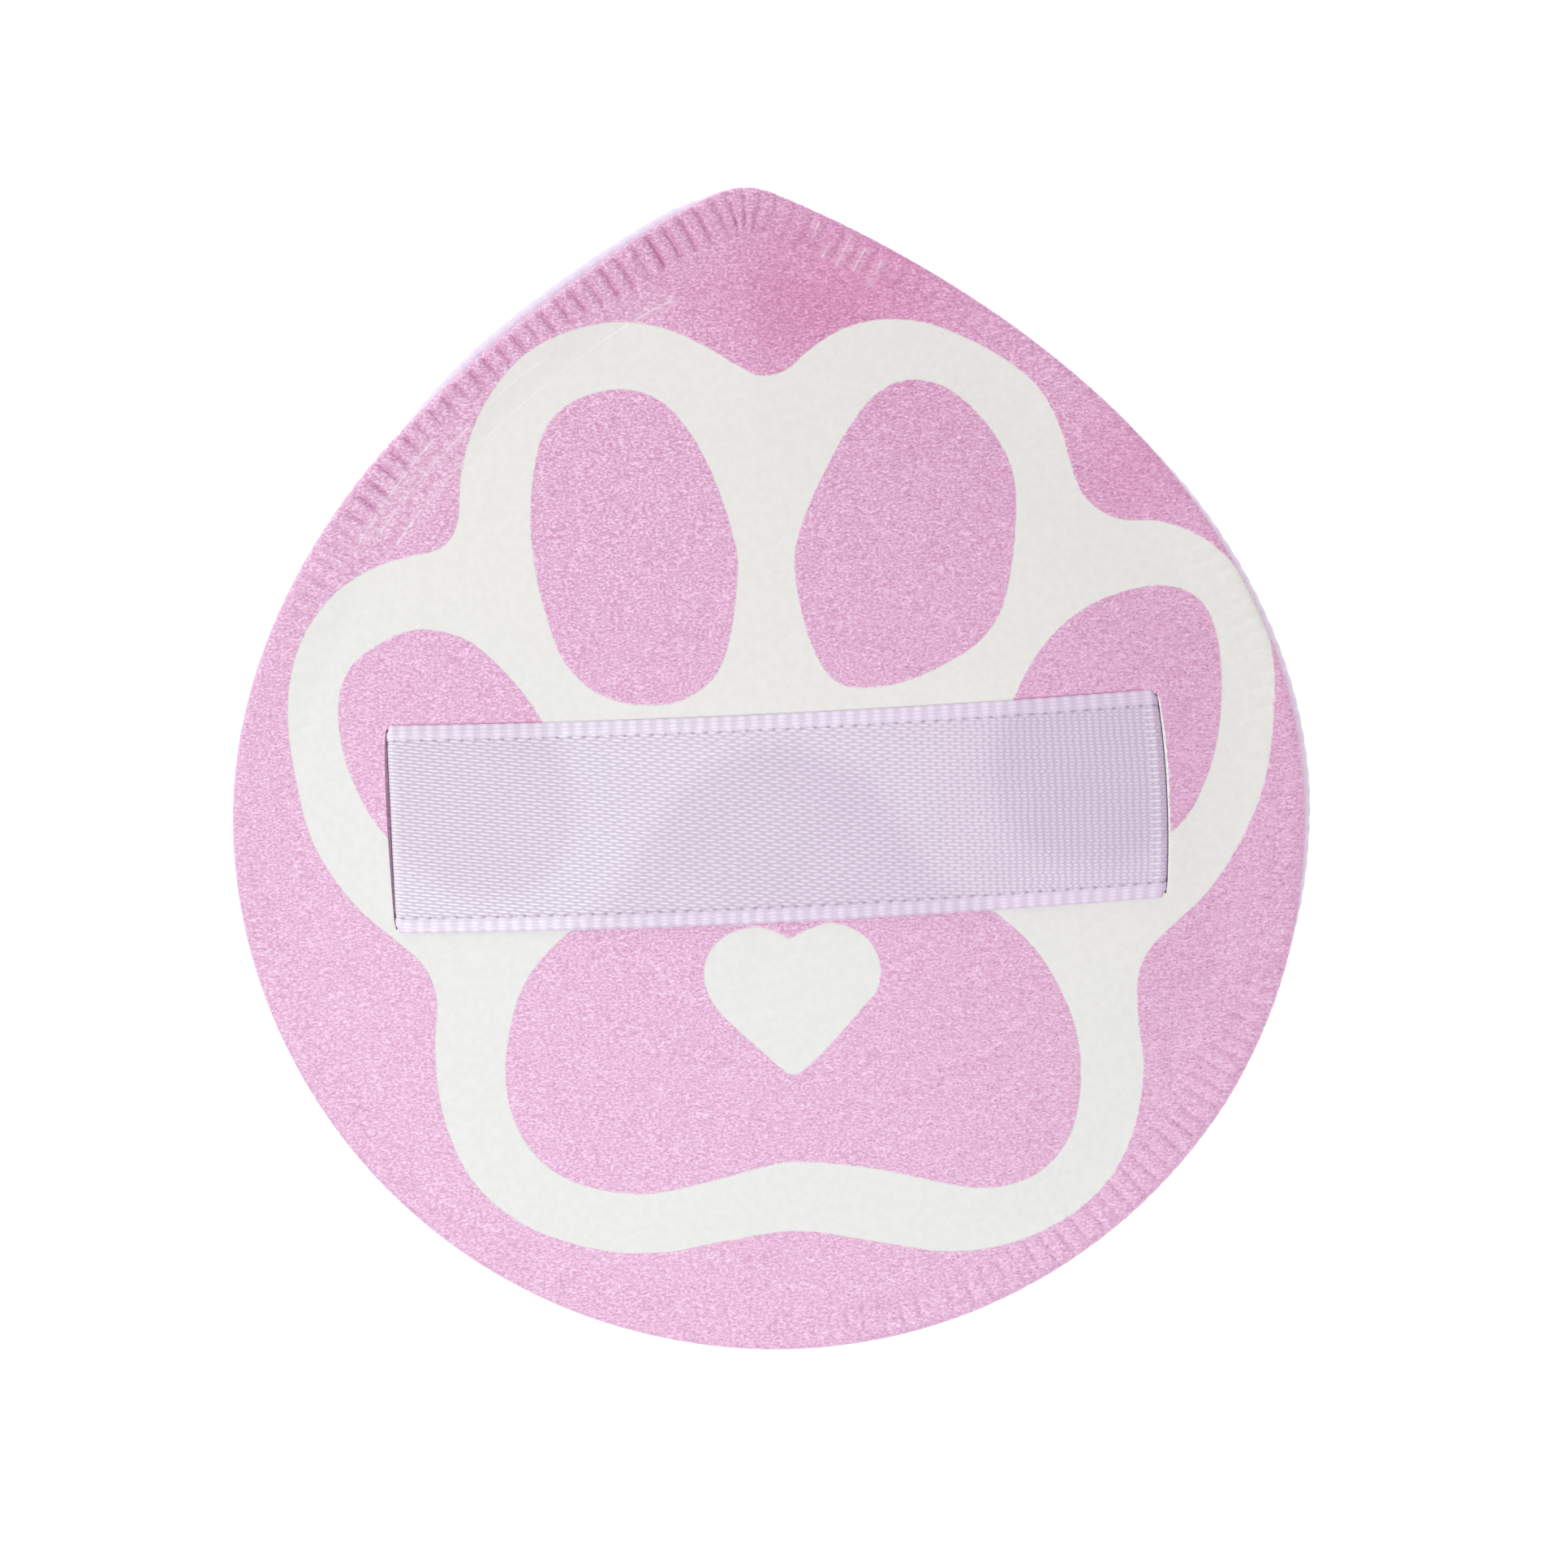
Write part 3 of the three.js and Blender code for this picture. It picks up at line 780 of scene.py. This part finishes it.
def seam_ring(count, inset, height, normal, ribbed):
    """A ring of the seam, sunk along its normal in the grooves between the ribs."""
    _, _, angle, turns = stations(count)
    shift = (round_table(angle, COVER_EDGE) - (FOLD_INSET - FOLD_RADIUS)) * (1 - smooth(inset, 0.8, 2.6))
    if normal[1] > 0:
        ends = 0.14 * per_stitch(np.random.default_rng(SEED + 1), 1, turns)
        ribbed = ribbed * (1 - smooth(inset - ends - round_table(angle, RIB_END), -0.3, 0.2))
    move = ribbed * round_table(angle, RIB_SHARE) * (RIB_SWELL - RIB_DEPTH * groove(turns))
    return level_ring(count, inset + shift + move * normal[0], height + move * normal[1])


def back_shell():
    """The back from the crown's middle over the fold and up inside, and how many faces are outside."""
    middle = top_height(CENTRE[None], np.array([BELLY_RADIUS]))[0]
    shell = Rings()
    shell.add([[*CENTRE, middle]])
    for count, first, last, step in CROWN_RINGS:
        for inset in np.linspace(first, last, int(round((first - last) / step)) + 1):
            shell.add(crown_ring(count, inset))
    fine = 8 * STITCHES
    angle = stations(fine)[2]
    for inset in np.linspace(2.95, FOLD_INSET, 12):
        shell.add(seam_ring(fine, inset, crest_level(inset, angle), (0, 1), 1.0))
    fold = (FOLD_INSET, FOLD_HEIGHT)
    tall = crest_level(FOLD_INSET, angle) - FOLD_HEIGHT
    low = FOLD_HEIGHT - SEAM_HEIGHT
    for degrees in FOLD_ANGLES:
        a = math.radians(degrees)
        reach = (FOLD_RADIUS, tall if degrees < 180 else low)
        place = on_loop(fold, reach, degrees, LOOP_POWER if degrees <= 180 else TUCK_POWER)
        ribbed = 1 - 0.75 * smooth(degrees, 120, 165) - 0.25 * smooth(degrees, 200, 270)
        count = fine if degrees < 200 else 4 * STITCHES
        shell.add(seam_ring(count, *place, (math.cos(a), math.sin(a)), ribbed))
    shell.add(level_ring(2 * STITCHES, RAW_EDGE, SEAM_HEIGHT))
    outside = len(shell.faces)
    shell.add(level_ring(2 * STITCHES, RAW_EDGE, SEAM_HEIGHT + COVER_SKIN))
    inner = FOLD_RADIUS - COVER_SKIN
    tall_inside = np.maximum(crest_level(FOLD_INSET, stations(STITCHES)[2]) - COVER_SKIN - FOLD_HEIGHT, 0.02)
    for degrees in np.linspace(270, 90, 7):
        reach = (inner, tall_inside if degrees < 180 else inner)
        shell.add(level_ring(STITCHES, *on_loop(fold, reach, degrees, LOOP_POWER)))
    for inset in np.linspace(3.2, 25.0, 22):
        shell.add(crown_ring(STITCHES if inset < 23 else STITCHES // 2, inset, COVER_SKIN))
    shell.add([[*CENTRE, middle - COVER_SKIN]])
    return shell, outside


def paint_back(piece):
    """Stores what the leatherette's look reads."""
    places = places_of(piece)
    plan = places[:, :2]
    seen = places[:, 2] > SEAM_HEIGHT - 0.01
    ink, rib, side, here = np.zeros((4, len(places)))
    down_the_side = crest_level(FOLD_INSET, angle_of(plan)) - places[:, 2] - SIDE_INK_DROP
    ink[~seen] = 1
    ink[seen] = np.maximum(ink_at(plan[seen]), down_the_side[seen])
    rib[seen] = ribs_at(places[seen])
    side[seen], here[seen] = creases_at(plan[seen])
    beside = plan[:, 1] - CENTRE[1] - ribbon_bow(plan[:, 0]) - RIBBON_WIDTH / 2
    store(piece, ink=ink, rib=rib, tint=tint_at(plan), crease_side=side, crease_here=here)
    store(piece, beside_ribbon=np.where(np.abs(plan[:, 0]) < SLIT_LEFT - 0.2, np.clip(beside, -2, 2), 2))


def printed_back(material, raw, cut_shade_look):
    """The leatherette with its backing, its two cut slits and its print."""
    shell, outside = back_shell()
    piece = shell.piece("printed_back", [material, raw, cut_shade_look])
    backing = np.arange(len(piece.data.polygons)) >= outside
    piece.data.polygons.foreach_set("material_index", backing.astype(np.int32))
    cut_slits(piece, (cut_shade_look, raw))
    paint_back(piece)
    piece.data.set_sharp_from_angle(angle=math.radians(55))
    return piece


# Slits.


class Slit(NamedTuple):
    side: int  # -1 at the left
    at: float
    top_gap: float  # from the slit's line to its outer wall's top
    bevel: float  # height of that wall's slanting part
    waver: float
    bulge: float  # of the back beyond the slit


SLITS = (Slit(-1, SLIT_LEFT, 0.29, 0.07, 0.01, 0.03), Slit(1, SLIT_RIGHT, 0.33, 0.09, 0.06, 0.1))
SLIT_HALF = RIBBON_WIDTH / 2 - 0.2
SLIT_LOW_GAP = 0.06  # of the outer wall below its slanting part
SLIT_ROOM = 0.25  # for the ribbon, inside the slit's line


def slit_bow(side, across):
    return SLIT_BOW * (side > 0) * (1 - (across / (RIBBON_WIDTH / 2)) ** 2)


def slit_cutter(slit, material, rng):
    """What one slit takes away. Its outer wall slants and wavers, so it shows from above."""
    top = over_back(np.array([slit.side * slit.at]))[0]
    under = top - slit.bevel
    slant = (slit.top_gap - SLIT_LOW_GAP) / slit.bevel
    heights = (top - COVER_SKIN - 0.5, under, top, top + 0.2)
    wall = []
    for y in np.linspace(-SLIT_HALF, SLIT_HALF, 57):
        off = 0.0 if abs(y) > SLIT_HALF - 0.1 else rng.uniform(-slit.waver, slit.waver)
        edge = slit.at + slit_bow(slit.side, y)
        narrow = float(smooth(abs(y), SLIT_HALF - 0.4, SLIT_HALF))
        inner = edge - lerp(SLIT_ROOM, 0.05, narrow)
        section = [(inner, heights[0])]
        for z in heights:
            gap = SLIT_LOW_GAP + slant * max(z - under, 0) + off * (z > under)
            section.append((edge + gap * (1 - 0.7 * narrow), z))
        section.append((inner, heights[-1]))
        wall += [(slit.side * x, CENTRE[1] + y, z) for x, z in section]
    n = len(section)
    last = len(wall) - n
    faces = [list(range(n)), list(range(len(wall) - 1, last - 1, -1))]
    for start in range(0, last, n):
        for i in range(n):
            j = (i + 1) % n
            faces.append((start + i, start + i + n, start + j + n, start + j))
    if slit.side < 0:
        faces = [list(reversed(face)) for face in faces]
    return mesh_object("slit_cutter", wall, faces, [material], False)


def subtract(piece, cutter):
    """Cuts one object out of another. The new walls take the cutter's material."""
    cut = piece.modifiers.new("slit", "BOOLEAN")
    cut.operation = "DIFFERENCE"
    cut.object = cutter
    cut.solver = "EXACT"
    cut.material_mode = "TRANSFER"
    bpy.context.view_layer.update()
    made = bpy.data.meshes.new_from_object(piece.evaluated_get(bpy.context.evaluated_depsgraph_get()))
    piece.modifiers.clear()
    old, piece.data = piece.data, made
    bpy.data.meshes.remove(old)
    bpy.data.objects.remove(cutter)


def cut_slits(piece, materials):
    """Cuts the two slits, and lifts the back a little beyond each."""
    rng = np.random.default_rng(SEED + 2)
    for slit, material in zip(SLITS, materials):
        subtract(piece, slit_cutter(slit, material, rng))
    index = np.empty(len(piece.data.polygons), np.int32)
    piece.data.polygons.foreach_get("material_index", index)
    piece.data.polygons.foreach_set("use_smooth", index == 0)
    places = places_of(piece)
    across = 1 - smooth(np.abs(places[:, 1] - CENTRE[1]), SLIT_HALF - 0.6, SLIT_HALF + 0.7)
    for slit in SLITS:
        beyond = slit.side * places[:, 0] - slit.at
        near = np.where(beyond > 0.02, bell(beyond - 0.25, 0.9), 0)
        places[:, 2] += slit.bulge * near * across * (places[:, 2] > BULGE_FLOOR)
    piece.data.vertices.foreach_set("co", (places * MM).ravel())
    piece.data.update()


# Ribbon.

RIBBON_GAP = 0.02  # between the ribbon and the back at the slits
TAIL_GAP = 0.16  # of a tail's middle line below the back's inside
BOW_DEPTH = 0.33
BOW_END = 18.7
ROW_LEAN = (0.105, 0.06)  # of the rows against the ribbon's edge, at its left and its right
ROUNDING = 0.3  # width of the strip along each edge where the upper sheet comes down


def back_height(points):
    """The height of the back's outside at any place on its crown."""
    edge, inward, _, _ = stations(8 * STITCHES)
    seam = edge + inward * SEAM_DEPTH
    length = np.interp(angle_of(points), angle_of(seam), np.linalg.norm(seam - CENTRE, axis=1), period=360)
    b = 2 * length - CROWN_DEPTH
    c = length - np.linalg.norm(points - CENTRE, axis=1)
    share = 2 * c / (b + np.sqrt(b * b - 4 * (length - CROWN_DEPTH) * c))
    return top_height(points, SEAM_DEPTH + share * CROWN_DEPTH)


def over_back(x):
    """The back's greatest height across the ribbon's width, at each place along it."""
    x, y = np.meshgrid(x, CENTRE[1] + np.linspace(-0.5, 0.5, 9) * RIBBON_WIDTH, indexing="ij")
    return back_height(np.stack([x, y], 2).reshape(-1, 2)).reshape(x.shape).max(1)


def under_back(x):
    """The height of a tail's middle line, at each place along it."""
    return VALLEY_TOP - COVER_SKIN - TAIL_GAP + rise(BELLY_RADIUS - np.hypot(x, RIBBON_WIDTH / 2))


def ribbon_bow(x):
    """How far the ribbon's middle line runs below the straight one, seen from above."""
    return -BOW_DEPTH * np.maximum(1 - (x / BOW_END) ** 2, 0)


def half_line(slit):
    """The ribbon's middle line in the XZ plane, from the middle of the puff to one end."""
    landing = slit.at - TURN_RADIUS
    x = np.linspace(0, landing, 120)
    z = over_back(slit.side * x) + RIBBON_SKIN / 2 + RIBBON_GAP + RIBBON_SLACK * (1 - (x / landing) ** 2)
    tail_x = np.linspace(slit.at + 2.2, TAIL_END, 6)
    upper = (landing, z[-1] - TURN_RADIUS)
    lower = (slit.at + TURN_RADIUS, under_back(slit.at + 1) + TURN_RADIUS)
    line = np.concatenate([
        np.column_stack([x[:-1], z[:-1]]),
        arc_points(upper, TURN_RADIUS, math.pi / 2, 0, 8),
        arc_points(lower, TURN_RADIUS, math.pi, 1.5 * math.pi, 8),
        np.column_stack([tail_x, under_back(tail_x)]),
    ])
    return line * (slit.side, 1)


def ribbon_line():
    """The ribbon's middle line from left to right, and lengths along it from its middle."""
    left, right = (half_line(slit) for slit in SLITS)
    line = np.concatenate([left[::-1], right[1:]])
    total = lengths(line)[-1]
    want = np.linspace(0, total, int(round(total / (BEAD_PITCH / 8))) + 1)
    even = at_lengths(line, want)
    return even, want - np.interp(0, even[:, 0], want)


def ribbon_columns():
    """Places across the ribbon, closer together in the selvedges."""
    half = RIBBON_WIDTH / 2
    band = half - SELVEDGE
    columns = [np.linspace(-half, -band, 9), np.linspace(-band, band, 27)[1:-1], np.linspace(band, half, 9)]
    return np.concatenate(columns)


def two_sheets(n, m):
    """Faces of two grids of n by m points, the second facing down, and of their rim."""
    index = np.arange(n * m).reshape(n, m)
    quads = np.stack([index[:-1, :-1], index[1:, :-1], index[1:, 1:], index[:-1, 1:]], 2).reshape(-1, 4)
    rim = np.concatenate([index[:, 0], index[-1, 1:], index[-2::-1, -1], index[0, -2:0:-1]])
    ahead = np.roll(rim, -1)
    sides = np.stack([rim, rim + n * m, ahead + n * m, ahead], 1)
    return np.concatenate([quads, quads[:, (0, 3, 2, 1)] + n * m, sides]).tolist()


def finger_ribbon(material):
    """The ribbon as a piece, and its length when flat."""
    line, along = ribbon_line()
    tangent = unit(np.gradient(line, axis=0))
    # What varies only along the ribbon is a column, and spreads across it in the sums.
    x, z = line[:, :1], line[:, 1:]
    up_x, up_z = -tangent[:, 1:], tangent[:, :1]
    u, v = np.meshgrid(along, ribbon_columns(), indexing="ij")
    inwards = RIBBON_WIDTH / 2 - np.abs(v)
    # Beads of the selvedge: a swelling every repeat, and a soft gutter inside it.
    in_band = 1 - smooth(inwards, SELVEDGE - 0.12, SELVEDGE)
    wave = 0.5 + 0.5 * np.cos(2 * math.pi * (u / BEAD_PITCH + np.where(v > 0, 0.0, 0.3)))
    dome = np.sqrt(np.clip(1 - ((inwards - SELVEDGE / 2) / (SELVEDGE / 2 + 0.02)) ** 2, 0, 1))
    lift = in_band * dome * (0.012 + 0.014 * wave) - 0.035 * bell(inwards - GUTTER, 0.07)
    rounded = smooth(inwards, 0, ROUNDING)
    scallop = 0.02 * wave * (1 - rounded)
    # The slits pinch the ribbon's width, and it lies in slow waves that follow the back.
    corner = np.abs(np.abs(x) - np.where(x < 0, SLIT_LEFT, SLIT_RIGHT))
    pinch = (0.13 * bell(corner, 0.12) + 0.07 * (1 - np.abs(up_z))) * (1 - smooth(inwards, 0, 1.2))
    flutter = 0.016 * (1 + np.sin(u / 1.7 + 0.8 * v)) + 0.012 * (1 + np.sin(u / 0.9 - 1.1 * v))
    flutter = flutter * smooth(18 - np.abs(x), 0, 3) * smooth(inwards, 0.1, 1.5)
    middle = CENTRE[1] + ribbon_bow(x) + v
    below = np.stack([np.broadcast_to(x, v.shape), middle], 2).reshape(-1, 2)
    sag = back_height(below).reshape(v.shape) - over_back(line[:, 0])[:, None]
    sag = sag * (1 - smooth(np.abs(x), 18.8, 19.4))
    bowed = x + slit_bow(1, v) * smooth(x, 10, 18)
    y = middle + (scallop - pinch) * np.sign(v)
    upper = RIBBON_SKIN / 2 * (rounded * 1.7 - 0.7) + lift * rounded + flutter
    lower = -RIBBON_SKIN / 2 - 0.3 * lift + flutter
    sheets = [np.stack([bowed + up_x * off, y, z + up_z * off + sag], 2) for off in (upper, lower)]
    places = np.concatenate(sheets).reshape(-1, 3)
    piece = mesh_object("finger_ribbon_satin", places, two_sheets(*v.shape), [material])
    lean = lerp(*ROW_LEAN, smooth(line[:, 0], 0, 15))
    skew = np.concatenate([[0], np.cumsum(np.diff(along) * (lean[1:] + lean[:-1]) / 2)])
    fields = {
        "along": u,
        "across": v,
        "slope": skew[:, None],
        "band": in_band,
        "bead": in_band * wave,
        "inwards": inwards,
        "bend": bell(x + SLIT_LEFT - 0.1, 0.16),
        "from_end": np.clip(SLIT_RIGHT - x, 0, 3),
        "ink": ink_at(places[: v.size, :2]).reshape(v.shape),
    }
    both = lambda values: np.tile(np.broadcast_to(values, v.shape).ravel(), 2)
    store(piece, **{name: both(values) for name, values in fields.items()})
    return piece, along[-1] - along[0]


# Applicator face, foam and thread.

HEM_GAP = 0.01  # between the hems of the back and the face
HEM_SKIN = 0.5
FOAM_GAP = 0.25  # between the foam and the skins
FOAM_EDGE = 0.3  # from the seam's depth
FOAM_SHOULDER = 3.3  # height of the foam's upper edge
TAIL_SLOT = 0.55  # depth of the foam's dips under the ribbon's tails
STITCH_MIDDLE = (1.95, 4.87)  # inset and height of the middle of the thread's loops
STITCH_REACH = (0.62, 0.95)
THREAD_STEPS = 14  # in a stitch
THREAD_SIDES = 5


def face_ring(count, inset, height, scallop=0.0):
    """A ring of the face. A scallop takes it in and out once a stitch."""
    _, _, angle, turns = stations(count)
    shift = round_table(angle, FACE_EDGE) * (1 - smooth(inset, 0.5, 2.5))
    return level_ring(count, inset + shift + scallop * np.cos(2 * math.pi * STITCHES * turns), height)


def applicator_face(material):
    """The foam skin: from the middle out to the hem inside, then back outside."""
    skin = Rings()
    tall = SEAM_HEIGHT - HEM_GAP - WIDEST_HEIGHT
    lower_middle = (BOTTOM_ROUND, WIDEST_HEIGHT)
    upper_middle = (FOLD_INSET, WIDEST_HEIGHT)
    skin.add([[*CENTRE, FACE_SKIN]])
    for inset in np.linspace(22, 3.4, 12):
        skin.add(face_ring(STITCHES // 2, inset, FACE_SKIN))
    reach = (BOTTOM_ROUND - FACE_SKIN, WIDEST_HEIGHT - FACE_SKIN)
    for degrees in np.linspace(270, 180, 6):
        skin.add(face_ring(STITCHES, *on_loop(lower_middle, reach, degrees)))
    reach = (FOLD_INSET - FACE_SKIN, tall - HEM_SKIN)
    for degrees in np.linspace(165, 90, 6):
        skin.add(face_ring(STITCHES, *on_loop(upper_middle, reach, degrees)))
    skin.add(face_ring(2 * STITCHES, RAW_EDGE, SEAM_HEIGHT - HEM_GAP - HEM_SKIN))
    skin.add(face_ring(2 * STITCHES, RAW_EDGE, SEAM_HEIGHT - HEM_GAP))
    for degrees in np.linspace(90, 180, 12):
        wave = 0.035 * smooth(degrees, 90, 120) * (1 - 0.5 * smooth(degrees, 150, 180))
        place = on_loop(upper_middle, (FOLD_INSET, tall), degrees, LOOP_POWER)
        skin.add(face_ring(4 * STITCHES, *place, wave))
    for degrees in np.linspace(186, 270, 14):
        wave = 0.017 * (1 - smooth(degrees, 180, 225))
        count = 4 * STITCHES if degrees < 252 else 2 * STITCHES
        skin.add(face_ring(count, *on_loop(lower_middle, lower_middle, degrees), wave))
    for inset in np.linspace(3.6, 25.2, 26):
        skin.add(face_ring(STITCHES if inset < 23 else STITCHES // 2, inset, 0.0))
    skin.add([[*CENTRE, 0.0]])
    return skin.piece("applicator_face_skin", [material])


def foam_pad(material):
    """The foam, from the middle of its crown down to its flat underside."""
    pad = Rings()
    base = FACE_SKIN + FOAM_GAP
    pad.add([[*CENTRE, VALLEY_TOP - COVER_SKIN + CROWN_RISE - FOAM_GAP - 0.35]])
    for inset in np.linspace(24.5, SEAM_DEPTH + FOAM_EDGE, 18):
        places = crown_ring(STITCHES, inset, COVER_SKIN + FOAM_GAP)
        x, y = np.abs(places[:, :2] - CENTRE).T
        places[:, 2] -= TAIL_SLOT * smooth(x, 16.6, 17.6) * (1 - smooth(y, 5.4, 6.4))
        pad.add(places)
    pad.add(level_ring(STITCHES, SEAM_DEPTH + FOAM_EDGE, FOAM_SHOULDER))
    pad.add(level_ring(STITCHES, FOLD_INSET + 0.2, FOAM_SHOULDER))
    reach = (BOTTOM_ROUND - base, WIDEST_HEIGHT - base)
    for degrees in np.linspace(180, 270, 8):
        pad.add(level_ring(STITCHES, *on_loop((BOTTOM_ROUND + 0.1, WIDEST_HEIGHT), reach, degrees)))
    for inset in np.linspace(5, 24, 8):
        pad.add(level_ring(STITCHES // 2, inset, base))
    pad.add([[*CENTRE, base]])
    return pad.piece("foam_pad", [material])


def overlock_stitches(material):
    """One thread that winds round both hems, a turn to a stitch, closed on itself."""
    count = STITCHES * THREAD_STEPS
    points, inward, _, turns = stations(count)
    a = turns * STITCHES * 2 * math.pi
    inset = STITCH_MIDDLE[0] + STITCH_REACH[0] * square(np.cos(a))
    height = STITCH_MIDDLE[1] + STITCH_REACH[1] * square(np.sin(a))
    path = np.column_stack([points + inward * inset[:, None], height])
    tangent = unit(np.roll(path, -1, 0) - np.roll(path, 1, 0))
    outward = np.column_stack([inward * np.cos(a)[:, None], np.sin(a)])
    side = unit(np.cross(tangent, outward))
    up = np.cross(side, tangent)
    rounds = (np.arange(THREAD_SIDES) / THREAD_SIDES * 2 * math.pi)[:, None]
    tube = path[:, None] + THREAD_RADIUS * (np.cos(rounds) * side[:, None] + np.sin(rounds) * up[:, None])
    index = np.arange(count * THREAD_SIDES).reshape(count, THREAD_SIDES)
    ahead = np.roll(index, -1, 0)
    quads = np.stack([index, ahead, np.roll(ahead, -1, 1), np.roll(index, -1, 1)], 2).reshape(-1, 4)
    return mesh_object("overlock_stitches", tube.reshape(-1, 3), quads.tolist(), [material])


# The puff.

KNIT = (5.0, (1, 1.6, 1), 0.08)  # scale, stretch and depth of the cut core's fibres
TWIST = (6.0, (1, 1, 3), 0.05)
white_core = fibre_look("leatherette_backing", 0.9, CORE, *KNIT)
# The left slit's cut wall is coloured dark mauve: painted shade of the slit's gap.
shaded_cut_core = fibre_look("leatherette_cut_painted_shade", 0.9, CUT_SHADE, *KNIT)
back = printed_back(leatherette_look(), white_core, shaded_cut_core)
ribbon, ribbon_length = finger_ribbon(satin_look())
face = applicator_face(face_look())
foam = foam_pad(foam_look())
thread = overlock_stitches(fibre_look("overlock_thread_twist", 0.6, THREAD, *TWIST))

for piece, node, slot in (
    (back, "printed_back_cover", "back"),
    (ribbon, "finger_ribbon", "ribbon"),
    (face, "applicator_face", "face"),
    (foam, "foam_core", "foam"),
    (thread, "overlock_thread", "thread"),
):
    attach(piece, "root")
    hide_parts(node)
ribbon_length * MM

# Camera, floor and light.

PLANE_HEIGHT = 7.5  # of the back, where the photograph's scale holds
CAMERA_HEIGHT = 2000.0
SENSOR_WIDTH = 36.0
FRAME_WIDTH = 2 * PHOTO_CENTRE / PX
FLOOR = 2500.0
FLOOR_HEIGHT = -0.02  # so that it doesn't coincide with the puff's flat underside
FLOOR_BOUNCE = 0.85  # how light the floor is for bounced light
FLOOR_SEEN = 0.3  # and for the camera, beside its own glow
FLOOR_GLOW = 0.85
WORLD_LIGHT = 0.385
# Azimuth in the photograph, anticlockwise from its right, tilt from the zenith, distance, size and power.
LAMPS = {
    "key": (238, 31, 290, 200, 0.52),
    "fill": (10, 58, 900, 500, 1.4),
    "rim_left": (125, 80, 700, 300, 2.4),
    "rim_right": (18, 85, 700, 100, 0.4),
}


def softbox(name, azimuth, tilt, distance, size, power):
    """A round softbox aimed at the puff."""
    data = bpy.data.lights.new(name, "AREA")
    data.shape = "DISK"
    data.size = size * MM
    data.energy = power
    lamp = bpy.data.objects.new(name, data)
    a, t = math.radians(azimuth) - TURN, math.radians(tilt)
    back_to = Vector((math.cos(a) * math.sin(t), math.sin(a) * math.sin(t), math.cos(t)))
    lamp.location = back_to * distance * MM
    lamp.rotation_mode = "QUATERNION"
    lamp.rotation_quaternion = (-back_to).to_track_quat("-Z", "Y")
    scene.collection.objects.link(lamp)


scene = bpy.context.scene
camera_data = bpy.data.cameras.new("camera")
camera_data.sensor_width = SENSOR_WIDTH
camera_data.lens = SENSOR_WIDTH * (CAMERA_HEIGHT - PLANE_HEIGHT) / FRAME_WIDTH
camera = bpy.data.objects.new("camera", camera_data)
aim = from_px([[PHOTO_CENTRE, PHOTO_CENTRE]])[0]
camera.location = Vector((*aim, CAMERA_HEIGHT)) * MM
camera.rotation_euler = (0, 0, -TURN)
scene.collection.objects.link(camera)
scene.camera = camera

corners = [(x * FLOOR, y * FLOOR, FLOOR_HEIGHT) for x, y in ((-1, -1), (1, -1), (1, 1), (-1, 1))]
mesh_object("floor", corners, [(0, 1, 2, 3)], [floor_look()], False)

world = bpy.data.worlds.new("studio")
world.use_nodes = True
background = world.node_tree.nodes["Background"]
background.inputs["Color"].default_value = (1, 1, 1, 1)
background.inputs["Strength"].default_value = WORLD_LIGHT
scene.world = world

for name, places in LAMPS.items():
    softbox(name, *places)

scene.view_settings.view_transform = "Standard"
